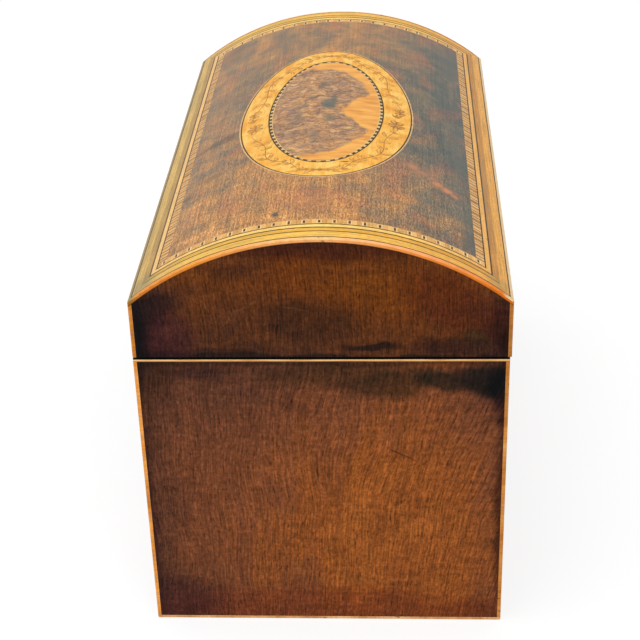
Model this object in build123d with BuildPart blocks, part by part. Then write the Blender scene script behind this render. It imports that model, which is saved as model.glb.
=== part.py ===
from build123d import *
import os
from math import asin, degrees

# An antique tea caddy: a veneered box with a domed, inlaid lid, two lidded compartments and a box lock.
# Sizes are in millimetres. +X runs along the caddy, -Y is its front, +Z is up, and the origin is the
# centre of the underside.

# Case
case_length = 210.0  # over the veneers of the two ends
case_depth = 115.0  # front to back, over the veneers
case_height = 101.4  # table to rim
board_t = 8.0  # carcase boards
bottom_t = 6.0
veneer_t = 1.2  # saw-cut veneer, and the square corner strings let in beside it
board_rebate = 3.0  # depth of the rebates that hold the end boards
arris_ease_r = 0.4  # wear on the outer arrises
foot_string_h = 1.2
rim_string_h = 0.9
baize_t = 0.6
baize_inset = 1.0  # bare margin between the foot strings and the baize

# Compartments
liner_t = 3.0  # thin boards that stand inside the case and carry the inner lids
divider_t = 5.0
divider_housing = 1.0  # depth of the grooves that hold the divider
foil_t = 0.4
inner_lid_t = 5.0
inner_lid_drop = 8.0  # rim down to the top of the inner lids
inner_lid_clearance = 0.4
inner_string_w = 1.6
inner_string_t = 1.0

# Lid
lid_gap = 0.7  # dark line between rim and lid
lid_side_height = 19.1  # lid's lower edge to the springing of the dome
dome_rise = 21.0  # springing to crown
lid_overhang = 0.5  # lid stands proud of the case at the front
dome_board_t = 6.0
glue_t = 0.05  # glue line under curved veneers
lining_t = 0.4  # paper on the inside of the dome

# Inlay on the dome, as widths measured over its surface, from the arris inwards
arris_string_w = 1.2
dark_line_w = 0.4
satin_band_w = 6.0
pale_string_w = 1.9
ladder_band_w = 3.0

# Oval patera on the crown, as sizes in plan
patera_length = 117.5
patera_width = 60.7
patera_shift_x = -2.0  # it was laid a little nearer one end
patera_shift_y = 1.2
patera_line_w = 0.45
patera_ring_end_w = 10.6  # width of the ring at the ends of the oval
patera_ring_side_w = 9.3  # and at its sides
chequer_w = 1.1

# Hinges
hinge_length = 32.0
hinge_spacing = 124.0  # between the centres of the two hinges
hinge_axis_proud = 0.6  # pin axis behind the back of the case
leaf_margin = 1.6  # inner face of the back board to the edge of a leaf
leaf_t = 1.2
knuckle_r = 1.9
knuckle_count = 5
knuckle_gap = 0.2
knuckle_clearance = 0.4  # around the barrel, in the wood and in the other leaf
pin_r = 0.8
pin_running = 0.05

# Screws, all slotted and countersunk
screw_head_r = 1.5
screw_head_h = 1.0
screw_shank_r = 0.75
screw_length = 7.0
screw_slot_w = 0.4
screw_slot_d = 0.4
hinge_screw_count = 3
hinge_screw_pitch = 10.5

# Lock
lock_length = 40.0
lock_height = 26.0
lock_body_length = 30.0
lock_plate_t = 1.2
selvedge_length = 48.0
selvedge_t = 1.5
lock_cover = 1.5  # wood left between the lock and the front veneer
lock_foot_margin = 0.8  # foot of the plate to the foot of the cap
cap_t = 0.8
keyhole_drop = 14.0  # rim to the centre of the keyhole
keyhole_r = 2.2
keyhole_slot_w = 2.0
keyhole_slot_l = 6.5
key_pin_r = 0.9
bolt_play = 0.1  # between the bolt and the cap, plate and selvedge
bolt_height = 5.6
bolt_length = 13.0
bolt_travel = 5.0
finger_l = 5.9
finger_t = 1.2
finger_h = 2.2
talon_w = 3.2
talon_d = 2.2
spring_t = 0.5
spring_sag = 3.6
spring_bearing = 1.5  # length of spring that stays under the thrown bolt
spring_clearance = 0.3
hook_x = 8.0  # centre of the lid's hook along the lock
hook_t = 1.6
hook_w = 3.4
hook_depth = 7.0  # rim to the tip of the hook
hook_window_w = 1.8
hook_window_h = 3.0
hook_clearance = 0.5
hook_plate_l = 30.0
hook_plate_w = 5.8
hook_plate_t = 1.2
escutcheon_w = 13.0
escutcheon_h = 21.0

# Knobs of the inner lids
knob_h = 9.0
knob_r = 3.6
knob_neck_r = 1.7
knob_foot_r = 3.0
knob_foot_h = 1.2
knob_foot_round = 0.6
knob_dowel_r = 1.4
knob_dowel_l = 3.6

# Places worked out from the sizes
half_length = case_length / 2
half_depth = case_depth / 2
core_x = half_length - veneer_t
core_y = half_depth - veneer_t
inside_x = core_x - board_t
inside_y = core_y - board_t
floor_z = baize_t + bottom_t
ledge_z = case_height - inner_lid_drop - inner_lid_t
lid_z = case_height + lid_gap
lid_y = -lid_overhang / 2
lid_half = (case_depth + lid_overhang) / 2
spring_z = lid_z + lid_side_height
crown_z = spring_z + dome_rise
dome_r = (lid_half**2 + dome_rise**2) / (2 * dome_rise)
dome_z = crown_z - dome_r
dome_angle = asin(lid_half / dome_r)
under_veneer_r = dome_r - veneer_t - glue_t
under_board_r = under_veneer_r - dome_board_t
hinge_y = half_depth + hinge_axis_proud
hinge_z = case_height + lid_gap / 2
hinge_places = (-hinge_spacing / 2, hinge_spacing / 2)
leaf_edge_y = inside_y + leaf_margin
lock_front_y = -core_y + lock_cover
plate_y = (-inside_y - lock_plate_t, -inside_y)
bolt_y = (lock_front_y + cap_t + bolt_play, plate_y[0] - bolt_play)
lock_mid_y = sum(bolt_y) / 2
keyhole_z = case_height - keyhole_drop

pieces = {}


def slab(x, y, z, mode=Mode.ADD):
    """A block between two values on each axis."""
    with Locations(((x[0] + x[1]) / 2, (y[0] + y[1]) / 2, (z[0] + z[1]) / 2)):
        Box(x[1] - x[0], y[1] - y[0], z[1] - z[0], mode=mode)


def mirrored_range(side, near, far):
    """The range from near to far on one side of the middle plane."""
    return tuple(sorted((side * near, side * far)))


def group(solids):
    """Loose pieces of one kind, kept apart as separate solids."""
    return Compound(children=solids)


def mitred_frame(x, y, z, width):
    """Four sticks with mitred ends, laid just inside a rectangle."""
    outer = [(x[0], y[0]), (x[1], y[0]), (x[1], y[1]), (x[0], y[1])]
    x_in = (x[0] + width, x[1] - width)
    y_in = (y[0] + width, y[1] - width)
    inner = [(x_in[0], y_in[0]), (x_in[1], y_in[0]), (x_in[1], y_in[1]), (x_in[0], y_in[1])]
    sticks = []
    for i in range(4):
        j = (i + 1) % 4
        with BuildPart() as stick:
            with BuildSketch(Plane.XY.offset(z[0])):
                with BuildLine():
                    Polyline(outer[i], outer[j], inner[j], inner[i], close=True)
                make_face()
            extrude(amount=z[1] - z[0])
        sticks.append(stick.part)
    return sticks


def screw_blanks(planes):
    """Countersunk screws without their slots, which are also the holes that they fill."""
    with BuildPart() as blanks:
        with Locations(*planes):
            Cone(
                screw_shank_r,
                screw_head_r,
                screw_head_h,
                align=(Align.CENTER, Align.CENTER, Align.MAX),
            )
            Cylinder(screw_shank_r, screw_length, align=(Align.CENTER, Align.CENTER, Align.MAX))
    return blanks.part


def screws(planes):
    """The same screws with their slots."""
    with BuildPart() as slotted:
        add(screw_blanks(planes))
        with Locations(*planes):
            Box(
                3 * screw_head_r,
                screw_slot_w,
                2 * screw_slot_d,
                mode=Mode.SUBTRACT,
            )
    return slotted.part


def keyhole(y):
    """A keyhole cut through the current part between two values of Y."""
    with BuildSketch(Plane.XZ.offset(-y[1])) as outline:
        with Locations((0, keyhole_z)):
            Circle(keyhole_r)
        with Locations((0, keyhole_z - keyhole_slot_l / 2)):
            Rectangle(keyhole_slot_w, keyhole_slot_l)
    extrude(outline.sketch, amount=y[1] - y[0], mode=Mode.SUBTRACT)


# Hinge leaves. The case leaf holds the odd knuckles and the lid leaf the even ones, counted from one.
knuckle_l = hinge_length / knuckle_count


def knuckle_span(centre_x, i):
    """The length of the barrel that knuckle i takes up, without the gaps."""
    start = centre_x - hinge_length / 2 + i * knuckle_l
    return start, start + knuckle_l


def barrel(x, radius, mode=Mode.ADD):
    """A round bar on the hinge axis."""
    with BuildSketch(Plane.YZ.offset(x[0])) as disc:
        with Locations((hinge_y, hinge_z)):
            Circle(radius)
    extrude(disc.sketch, amount=x[1] - x[0], mode=mode)


def hinge_leaf(centre_x, base_z, first_knuckle, bore_r, screw_planes):
    """A brass leaf and its knuckles. base_z is the underside of the flat plate."""
    clear_r = knuckle_r + knuckle_clearance
    with BuildPart() as leaf:
        slab(
            (centre_x - hinge_length / 2, centre_x + hinge_length / 2),
            (leaf_edge_y, hinge_y),
            (base_z, base_z + leaf_t),
        )
        for i in range(1 - first_knuckle, knuckle_count, 2):
            start, end = knuckle_span(centre_x, i)
            barrel((start - knuckle_gap / 2, end + knuckle_gap / 2), clear_r, Mode.SUBTRACT)
        for i in range(first_knuckle, knuckle_count, 2):
            start, end = knuckle_span(centre_x, i)
            barrel((start + knuckle_gap / 2, end - knuckle_gap / 2), knuckle_r)
        barrel((centre_x - hinge_length, centre_x + hinge_length), bore_r, Mode.SUBTRACT)
        add(screw_blanks(screw_planes), mode=Mode.SUBTRACT)
    return leaf.part


hinge_screw_y = (leaf_edge_y + core_y) / 2
case_screw_planes = []
lid_screw_planes = []
for place in hinge_places:
    for i in range(hinge_screw_count):
        screw_x = place + (i - (hinge_screw_count - 1) / 2) * hinge_screw_pitch
        case_screw_planes.append(Plane(origin=(screw_x, hinge_screw_y, case_height), z_dir=(0, 0, 1)))
        lid_screw_planes.append(Plane(origin=(screw_x, hinge_screw_y, lid_z), z_dir=(0, 0, -1)))

pieces["case_hinge_leaves"] = group(
    [hinge_leaf(x, case_height - leaf_t, 0, pin_r, case_screw_planes) for x in hinge_places]
)
pieces["lid_hinge_leaves"] = group(
    [hinge_leaf(x, lid_z, 1, pin_r + pin_running, lid_screw_planes) for x in hinge_places]
)
pieces["case_hinge_screws"] = screws(case_screw_planes)
pieces["lid_hinge_screws"] = screws(lid_screw_planes)

with BuildPart() as hinge_pins:
    for place in hinge_places:
        barrel((place - hinge_length / 2, place + hinge_length / 2), pin_r)
pieces["hinge_pins"] = hinge_pins.part


def cut_hinge_seats(leaf_base_z, screw_planes):
    """Lets the two hinges into the current part: the barrels, the flat plates and the screws."""
    for place in hinge_places:
        reach = hinge_length / 2
        barrel(
            (place - reach - knuckle_clearance, place + reach + knuckle_clearance),
            knuckle_r + knuckle_clearance,
            Mode.SUBTRACT,
        )
        slab(
            (place - reach, place + reach),
            (leaf_edge_y, hinge_y),
            (leaf_base_z, leaf_base_z + leaf_t),
            Mode.SUBTRACT,
        )
    add(screw_blanks(screw_planes), mode=Mode.SUBTRACT)


# Box lock. Its L-shaped plate is flush with the inside of the front board and with the rim.
lock_foot_z = case_height - lock_height
selvedge_z = (case_height - selvedge_t, case_height)
lock_screw_planes = []
hook_screw_planes = []
for side in (-1, 1):
    end_x = side * (selvedge_length + lock_body_length) / 4
    lock_screw_planes.append(Plane(origin=(end_x, lock_mid_y, case_height), z_dir=(0, 0, 1)))
    hook_screw_planes.append(
        Plane(origin=(side * (hook_plate_l / 2 - 2 * screw_head_r), lock_mid_y, lid_z), z_dir=(0, 0, -1))
    )
hook_slot_x = (hook_x - hook_t / 2 - hook_clearance, hook_x + hook_t / 2 + hook_clearance)
hook_slot_y = (
    lock_mid_y - hook_w / 2 - hook_clearance,
    lock_mid_y + hook_w / 2 + hook_clearance,
)

with BuildPart() as lock_plate:
    slab((-lock_length / 2, lock_length / 2), plate_y, (lock_foot_z, case_height))
    slab((-selvedge_length / 2, selvedge_length / 2), (lock_front_y, -inside_y), selvedge_z)
    slab(hook_slot_x, hook_slot_y, selvedge_z, Mode.SUBTRACT)
    add(screw_blanks(lock_screw_planes), mode=Mode.SUBTRACT)
pieces["lock_plate"] = lock_plate.part

cap_x = (-lock_body_length / 2, lock_body_length / 2)
cap_y = (lock_front_y, plate_y[0])
cap_z = (lock_foot_z + lock_foot_margin, selvedge_z[0])
with BuildPart() as lock_cap:
    slab(cap_x, cap_y, cap_z)
    slab(
        (cap_x[0] + cap_t, cap_x[1] - cap_t),
        (cap_y[0] + cap_t, cap_y[1]),
        (cap_z[0] + cap_t, cap_z[1]),
        Mode.SUBTRACT,
    )
    keyhole(cap_y)
pieces["lock_cap"] = lock_cap.part

with BuildPart() as lock_key_pin:
    with BuildSketch(Plane.XZ.offset(-plate_y[0])):
        with Locations((0, keyhole_z)):
            Circle(key_pin_r)
    extrude(amount=plate_y[0] - lock_front_y - cap_t)
pieces["lock_key_pin"] = lock_key_pin.part

# The bolt slides along X, and its finger passes through the window of the lid's hook. The key turns on
# its pin and works in the talon, which stands as far to one side of it as the throw takes it past.
bolt_top = selvedge_z[0] - bolt_play
bolt_foot = bolt_top - bolt_height
bolt_end_x = hook_x - hook_t / 2 - hook_clearance - finger_l
bolt_x = (bolt_end_x - bolt_length, bolt_end_x)
talon_mid_x = -bolt_travel / 2
window_mid_z = bolt_top - hook_window_h / 2
with BuildPart() as lock_bolt:
    slab(bolt_x, bolt_y, (bolt_foot, bolt_top))
    slab(
        (bolt_x[1], bolt_x[1] + finger_l),
        (lock_mid_y - finger_t / 2, lock_mid_y + finger_t / 2),
        (window_mid_z - finger_h / 2, window_mid_z + finger_h / 2),
    )
    slab(
        (talon_mid_x - talon_w / 2, talon_mid_x + talon_w / 2),
        bolt_y,
        (bolt_foot, bolt_foot + talon_d),
        Mode.SUBTRACT,
    )
pieces["lock_bolt"] = lock_bolt.part

# A flat spring, riveted to the end of the cap, that bears up under the bolt.
spring_x = (cap_x[0] + cap_t, bolt_x[0] + bolt_travel + spring_bearing)
spring_mid_x = sum(spring_x) / 2
spring_top = bolt_foot - spring_clearance
with BuildPart() as lock_spring:
    with BuildSketch(Plane.XZ.offset(-bolt_y[1])):
        with BuildLine():
            upper = ThreePointArc(
                (spring_x[0], spring_top - spring_sag),
                (spring_mid_x, spring_top - spring_sag / 4),
                (spring_x[1], spring_top),
            )
            lower = ThreePointArc(
                (spring_x[1], spring_top - spring_t),
                (spring_mid_x, spring_top - spring_sag / 4 - spring_t),
                (spring_x[0], spring_top - spring_sag - spring_t),
            )
            Line(upper @ 1, lower @ 0)
            Line(lower @ 1, upper @ 0)
        make_face()
    extrude(amount=bolt_y[1] - bolt_y[0])
pieces["lock_spring"] = lock_spring.part
pieces["lock_screws"] = screws(lock_screw_planes)

# The hook hangs from a plate let into the lid's front rail, to which it is brazed.
hook_plate_y = (lock_mid_y - hook_plate_w / 2, lock_mid_y + hook_plate_w / 2)
hook_plate_z = (lid_z, lid_z + hook_plate_t)
with BuildPart() as hook_plate:
    slab((-hook_plate_l / 2, hook_plate_l / 2), hook_plate_y, hook_plate_z)
    add(screw_blanks(hook_screw_planes), mode=Mode.SUBTRACT)
pieces["hook_plate"] = hook_plate.part
pieces["hook_plate_screws"] = screws(hook_screw_planes)

with BuildPart() as lid_hook:
    slab(
        (hook_x - hook_t / 2, hook_x + hook_t / 2),
        (lock_mid_y - hook_w / 2, lock_mid_y + hook_w / 2),
        (case_height - hook_depth, lid_z),
    )
    slab(
        (hook_x - hook_t, hook_x + hook_t),
        (lock_mid_y - hook_window_w / 2, lock_mid_y + hook_window_w / 2),
        (window_mid_z - hook_window_h / 2, window_mid_z + hook_window_h / 2),
        Mode.SUBTRACT,
    )
pieces["lid_hook"] = lid_hook.part


def escutcheon_outline():
    """The lozenge of the keyhole's bone surround."""
    with BuildSketch(Plane.XZ.offset(core_y)) as lozenge:
        low, high = keyhole_z - escutcheon_h / 2, keyhole_z + escutcheon_h / 2
        with BuildLine():
            Polyline(
                (0, low),
                (escutcheon_w / 2, keyhole_z),
                (0, high),
                (-escutcheon_w / 2, keyhole_z),
                close=True,
            )
        make_face()
    return lozenge.sketch


with BuildPart() as keyhole_escutcheon:
    extrude(escutcheon_outline(), amount=veneer_t)
    keyhole((-half_depth, -core_y))
pieces["keyhole_escutcheon"] = keyhole_escutcheon.part

# Carcase. The end boards stand in rebates in the front and back boards, all on the bottom board.
wall_z = (floor_z, case_height)
end_board_y = (-inside_y - board_rebate, inside_y + board_rebate)
end_boards = {}
for side, name in ((-1, "case_left_board"), (1, "case_right_board")):
    with BuildPart() as end_board:
        slab(mirrored_range(side, inside_x, core_x), end_board_y, wall_z)
    end_boards[name] = end_board.part
pieces.update(end_boards)


def long_board(side):
    """The front or back board with its two rebates, in the current part."""
    slab((-core_x, core_x), mirrored_range(side, inside_y, core_y), wall_z)
    for end_board_part in end_boards.values():
        add(end_board_part, mode=Mode.SUBTRACT)


with BuildPart() as case_front_board:
    long_board(-1)
    slab((-lock_length / 2, lock_length / 2), plate_y, (lock_foot_z, case_height), Mode.SUBTRACT)
    slab(cap_x, cap_y, (cap_z[0], case_height), Mode.SUBTRACT)
    slab(
        (-selvedge_length / 2, selvedge_length / 2),
        (lock_front_y, -inside_y),
        selvedge_z,
        Mode.SUBTRACT,
    )
    keyhole((-core_y, lock_front_y))
    add(screw_blanks(lock_screw_planes), mode=Mode.SUBTRACT)
pieces["case_front_board"] = case_front_board.part

with BuildPart() as case_back_board:
    long_board(1)
    cut_hinge_seats(case_height - leaf_t, case_screw_planes)
pieces["case_back_board"] = case_back_board.part

with BuildPart() as bottom_board:
    slab((-core_x, core_x), (-core_y, core_y), (baize_t, floor_z))
pieces["bottom_board"] = bottom_board.part

with BuildPart() as base_baize:
    slab(
        (-core_x + baize_inset, core_x - baize_inset),
        (-core_y + baize_inset, core_y - baize_inset),
        (0, baize_t),
    )
pieces["base_baize"] = base_baize.part

# Stringing and veneer on the case. Veneers run between the strings, and the strings are cut to the
# outside of the case with its arrises worn round, but for those of the rim.
foot_z = (0, foot_string_h)
rim_z = (case_height - rim_string_h, case_height)
veneer_z = (foot_z[1], rim_z[0])
full_x = (-half_length, half_length)
full_y = (-half_depth, half_depth)

with BuildPart() as case_form:
    slab(full_x, full_y, (0, case_height))
    foot_edges, upright_edges = case_form.edges().group_by(Axis.Z)[:2]
    fillet(foot_edges + upright_edges, arris_ease_r)

foot_sticks = []
for stick in mitred_frame(full_x, full_y, foot_z, veneer_t):
    with BuildPart() as foot_stick:
        add(stick)
        add(case_form.part, mode=Mode.INTERSECT)
    foot_sticks.append(foot_stick.part)
pieces["case_foot_strings"] = group(foot_sticks)

rim_sticks = []
for stick in mitred_frame(full_x, full_y, rim_z, veneer_t):
    with BuildPart() as rim_stick:
        add(stick)
        add(case_form.part, mode=Mode.INTERSECT)
        cut_hinge_seats(case_height - leaf_t, case_screw_planes)
    rim_sticks.append(rim_stick.part)
pieces["case_rim_strings"] = group(rim_sticks)

with BuildPart() as case_corner_strings:
    for side_x in (-1, 1):
        for side_y in (-1, 1):
            slab(
                mirrored_range(side_x, core_x, half_length),
                mirrored_range(side_y, core_y, half_depth),
                veneer_z,
            )
    add(case_form.part, mode=Mode.INTERSECT)
pieces["case_corner_strings"] = case_corner_strings.part

for side, name in ((-1, "case_left_veneer"), (1, "case_right_veneer")):
    with BuildPart() as case_end_veneer:
        slab(mirrored_range(side, core_x, half_length), (-core_y, core_y), veneer_z)
    pieces[name] = case_end_veneer.part

with BuildPart() as case_front_veneer:
    slab((-core_x, core_x), (-half_depth, -core_y), veneer_z)
    extrude(escutcheon_outline(), amount=veneer_t, mode=Mode.SUBTRACT)
pieces["case_front_veneer"] = case_front_veneer.part

with BuildPart() as case_back_veneer:
    slab((-core_x, core_x), (core_y, half_depth), veneer_z)
    cut_hinge_seats(case_height - leaf_t, case_screw_planes)
pieces["case_back_veneer"] = case_back_veneer.part

# Compartments: liners, a divider in grooves, and a foil tub on each side of it.
liner_in_x = inside_x - liner_t
liner_in_y = inside_y - liner_t
liner_z = (floor_z, ledge_z)
half_divider = divider_t / 2

with BuildPart() as divider:
    slab(
        (-half_divider, half_divider),
        (-liner_in_y - divider_housing, liner_in_y + divider_housing),
        liner_z,
    )
pieces["divider"] = divider.part

liners = []
for side in (-1, 1):
    with BuildPart() as long_liner:
        slab((-inside_x, inside_x), mirrored_range(side, liner_in_y, inside_y), liner_z)
        add(divider.part, mode=Mode.SUBTRACT)
    with BuildPart() as end_liner:
        slab(mirrored_range(side, liner_in_x, inside_x), (-liner_in_y, liner_in_y), liner_z)
    liners += [long_liner.part, end_liner.part]
pieces["compartment_liners"] = group(liners)

for side, name in ((-1, "left_foil_lining"), (1, "right_foil_lining")):
    with BuildPart() as foil:
        slab(mirrored_range(side, half_divider, liner_in_x), (-liner_in_y, liner_in_y), liner_z)
        slab(
            mirrored_range(side, half_divider + foil_t, liner_in_x - foil_t),
            (-liner_in_y + foil_t, liner_in_y - foil_t),
            (floor_z + foil_t, ledge_z),
            Mode.SUBTRACT,
        )
    pieces[name] = foil.part

# Inner lids, which lift straight off, with a turned knob in the middle of each.
inner_top_z = ledge_z + inner_lid_t
inner_x = (inner_lid_clearance, inside_x - inner_lid_clearance)
inner_y = (-inside_y + inner_lid_clearance, inside_y - inner_lid_clearance)


def knob_at(x):
    """A turned knob: foot, neck, ball and the dowel under them."""
    standing = (Align.CENTER, Align.CENTER, Align.MIN)
    with BuildPart(Plane(origin=(x, 0, inner_top_z))) as knob:
        Cylinder(knob_foot_r, knob_foot_h, align=standing)
        fillet(knob.edges().group_by(Axis.Z)[-1], knob_foot_round)
        Cylinder(knob_neck_r, knob_h - knob_r, align=standing)
        Cylinder(knob_dowel_r, knob_dowel_l, align=(Align.CENTER, Align.CENTER, Align.MAX))
        with Locations((0, 0, knob_h - knob_r)):
            Sphere(knob_r)
    return knob.part


for side, name in ((-1, "left"), (1, "right")):
    panel_x = mirrored_range(side, *inner_x)
    knob = knob_at(sum(panel_x) / 2)
    frame = mitred_frame(panel_x, inner_y, (inner_top_z - inner_string_t, inner_top_z), inner_string_w)
    with BuildPart() as inner_lid:
        slab(panel_x, inner_y, (ledge_z, inner_top_z))
        for stick in frame:
            add(stick, mode=Mode.SUBTRACT)
        add(knob, mode=Mode.SUBTRACT)
    pieces[name + "_inner_lid"] = inner_lid.part
    pieces[name + "_inner_lid_strings"] = group(frame)
    pieces[name + "_knob"] = knob

# Lid carcase, drawn in section across the lid and run along it.
lid_core_half = lid_half - veneer_t
lid_inside_half = lid_core_half - board_t


def lid_section(x, y, radius, inner_radius=None):
    """Part of the lid between two values of X and of Y, under a radius of the dome, run along X."""
    with BuildSketch(Plane.YZ.offset(x[0])) as section:
        with Locations((lid_y + (y[0] + y[1]) / 2, (lid_z + crown_z) / 2)):
            Rectangle(y[1] - y[0], crown_z - lid_z)
        with Locations((lid_y, dome_z)):
            Circle(radius, mode=Mode.INTERSECT)
            if inner_radius:
                Circle(inner_radius, mode=Mode.SUBTRACT)
    extrude(section.sketch, amount=x[1] - x[0])


gable_half = lid_inside_half + board_rebate
gables = {}
for side, name in ((-1, "lid_left_gable"), (1, "lid_right_gable")):
    with BuildPart() as gable:
        lid_section(mirrored_range(side, inside_x, core_x), (-gable_half, gable_half), under_board_r)
    gables[name] = gable.part
pieces.update(gables)

with BuildPart() as lid_front_rail:
    lid_section((-core_x, core_x), (-lid_core_half, -lid_inside_half), under_board_r)
    for gable_part in gables.values():
        add(gable_part, mode=Mode.SUBTRACT)
    slab((-hook_plate_l / 2, hook_plate_l / 2), hook_plate_y, hook_plate_z, Mode.SUBTRACT)
    add(screw_blanks(hook_screw_planes), mode=Mode.SUBTRACT)
pieces["lid_front_rail"] = lid_front_rail.part

with BuildPart() as lid_back_rail:
    lid_section((-core_x, core_x), (lid_inside_half, lid_core_half), under_board_r)
    for gable_part in gables.values():
        add(gable_part, mode=Mode.SUBTRACT)
    cut_hinge_seats(lid_z, lid_screw_planes)
pieces["lid_back_rail"] = lid_back_rail.part

with BuildPart() as lid_top_board:
    lid_section((-core_x, core_x), (-lid_core_half, lid_core_half), under_veneer_r, under_board_r)
pieces["lid_top_board"] = lid_top_board.part

lining_r = under_board_r - glue_t
with BuildPart() as lid_lining:
    lid_section(
        (-inside_x, inside_x),
        (-lid_inside_half, lid_inside_half),
        lining_r,
        lining_r - lining_t,
    )
pieces["lid_lining"] = lid_lining.part

# Veneers and corner strings on the upright faces of the lid. Its worn arrises are all but the lower ones.
with BuildPart() as lid_form:
    lid_section(full_x, (-lid_half, lid_half), dome_r)
    lower_edges = lid_form.edges().group_by(Axis.Z)[0]
    fillet(lid_form.edges() - lower_edges, arris_ease_r)

for side, name in ((-1, "lid_left_veneer"), (1, "lid_right_veneer")):
    with BuildPart() as lid_end_veneer:
        lid_section(
            mirrored_range(side, core_x, half_length),
            (-lid_core_half, lid_core_half),
            under_veneer_r,
        )
    pieces[name] = lid_end_veneer.part

with BuildPart() as lid_front_veneer:
    lid_section((-core_x, core_x), (-lid_half, -lid_core_half), under_veneer_r)
pieces["lid_front_veneer"] = lid_front_veneer.part

with BuildPart() as lid_back_veneer:
    lid_section((-core_x, core_x), (lid_core_half, lid_half), under_veneer_r)
    cut_hinge_seats(lid_z, lid_screw_planes)
pieces["lid_back_veneer"] = lid_back_veneer.part

with BuildPart() as lid_corner_strings:
    for side_x in (-1, 1):
        for side_y in (-1, 1):
            lid_section(
                mirrored_range(side_x, core_x, half_length),
                mirrored_range(side_y, lid_core_half, lid_half),
                under_veneer_r,
            )
    add(lid_form.part, mode=Mode.INTERSECT)
pieces["lid_corner_strings"] = lid_corner_strings.part

# Marquetry on the dome. One curved layer of veneer is cut into every piece of it.
border_w = arris_string_w + 3 * dark_line_w + satin_band_w + pale_string_w + ladder_band_w

with BuildPart() as dome_layer:
    lid_section(full_x, (-lid_half, lid_half), dome_r, dome_r - veneer_t)
    add(lid_form.part, mode=Mode.INTERSECT)


def dome_frame(inset):
    """Angle from the crown, in degrees, of the line at this inset from the long arris."""
    return degrees(dome_angle - inset / dome_r)


def radial_plane(side, inset):
    """Plane through the dome's axis at an inset from one long arris, facing the crown."""
    across = Vector(0, side, 0).rotate(Axis.X, side * (90 - dome_frame(inset)))
    facing = Vector(0, side, 0).rotate(Axis.X, side * -dome_frame(inset))
    return Plane(origin=Vector(0, lid_y, dome_z) + across * dome_r, z_dir=facing * -1)


def end_plane(side, inset):
    """Plane across the lid at an inset from one end, facing the middle."""
    return Plane(origin=(side * (half_length - inset), 0, 0), z_dir=(-side, 0, 0))


def mitre_plane(side_x, side_y):
    """Plane of the mitre at one corner, facing the long strip."""
    middle = border_w / 2
    outward = Vector(0, side_y, 0).rotate(Axis.X, side_y * (90 - dome_frame(middle)))
    down_slope = Vector(0, side_y, 0).rotate(Axis.X, side_y * -dome_frame(middle))
    corner = Vector(side_x * (half_length - middle), lid_y, dome_z) + outward * dome_r
    return Plane(origin=corner, z_dir=down_slope - Vector(side_x, 0, 0))


def flipped(plane):
    """The same plane facing the other way."""
    return Plane(origin=plane.origin, z_dir=plane.z_dir * -1)


def cut_from_layer(planes):
    """The part of the dome's veneer in front of every plane."""
    with BuildPart() as piece:
        add(dome_layer.part)
        for plane in planes:
            split(bisect_by=plane, keep=Keep.TOP)
    return piece.part


def border_strips(start, width):
    """Four mitred strips round the dome, from start to start + width in from the arrises."""
    strips = []
    for side_y in (-1, 1):
        planes = [mitre_plane(side_x, side_y) for side_x in (-1, 1)]
        planes.append(flipped(radial_plane(side_y, start + width)))
        if start > 0:
            planes.append(radial_plane(side_y, start))
        strips.append(cut_from_layer(planes))
    for side_x in (-1, 1):
        planes = [flipped(mitre_plane(side_x, side_y)) for side_y in (-1, 1)]
        planes.append(flipped(end_plane(side_x, start + width)))
        if start > 0:
            planes.append(end_plane(side_x, start))
        strips.append(cut_from_layer(planes))
    return strips


inset = 0.0
border = {}
for name, width in (
    ("lid_arris_strings", arris_string_w),
    ("lid_dark_lines", dark_line_w),
    ("lid_satinwood_banding", satin_band_w),
    ("lid_dark_lines", dark_line_w),
    ("lid_pale_strings", pale_string_w),
    ("lid_dark_lines", dark_line_w),
    ("lid_ladder_banding", ladder_band_w),
):
    border.setdefault(name, []).extend(border_strips(inset, width))
    inset += width
for name, strips in border.items():
    pieces[name] = group(strips)


def oval(inset):
    """The patera's oval, drawn in by one inset at its ends and another at its sides."""
    with Locations((patera_shift_x, patera_shift_y)):
        Ellipse(patera_length / 2 - inset[0], patera_width / 2 - inset[1])


def oval_band(start, end=None):
    """The dome's veneer between two insets of the oval, or all within the first."""
    with BuildPart() as band:
        add(dome_layer.part)
        with BuildSketch(Plane.XY.offset(lid_z)):
            oval(start)
        extrude(amount=crown_z, mode=Mode.INTERSECT)
        if end:
            with BuildSketch(Plane.XY.offset(lid_z)):
                oval(end)
            extrude(amount=crown_z, mode=Mode.SUBTRACT)
    return band.part


with BuildPart() as lid_field_veneer:
    add(dome_layer.part)
    for side in (-1, 1):
        split(bisect_by=radial_plane(side, border_w), keep=Keep.TOP)
        split(bisect_by=end_plane(side, border_w), keep=Keep.TOP)
    with BuildSketch(Plane.XY.offset(lid_z)):
        oval((0, 0))
    extrude(amount=crown_z, mode=Mode.SUBTRACT)
pieces["lid_field_veneer"] = lid_field_veneer.part

# Insets of the patera's rings, from its edge inwards, at the ends and at the sides of the oval.
insets = [(0, 0)]
for end_w, side_w in (
    (patera_line_w, patera_line_w),
    (patera_line_w, patera_line_w),
    (patera_ring_end_w, patera_ring_side_w),
    (patera_line_w, patera_line_w),
    (chequer_w, chequer_w),
):
    insets.append((insets[-1][0] + end_w, insets[-1][1] + side_w))
pieces["patera_pale_line"] = oval_band(insets[0], insets[1])
pieces["patera_dark_lines"] = group(
    [oval_band(insets[1], insets[2]), oval_band(insets[3], insets[4])]
)
pieces["patera_ring"] = oval_band(insets[2], insets[3])
pieces["patera_chequer"] = oval_band(insets[4], insets[5])
pieces["patera_centre"] = oval_band(insets[5])

os.makedirs("parts", exist_ok=True)
for name, piece in pieces.items():
    piece.label = name
    export_step(piece, f"parts/{name}.step")
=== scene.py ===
import math

import bmesh
import bpy
from mathutils import Matrix, Vector, noise


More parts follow.
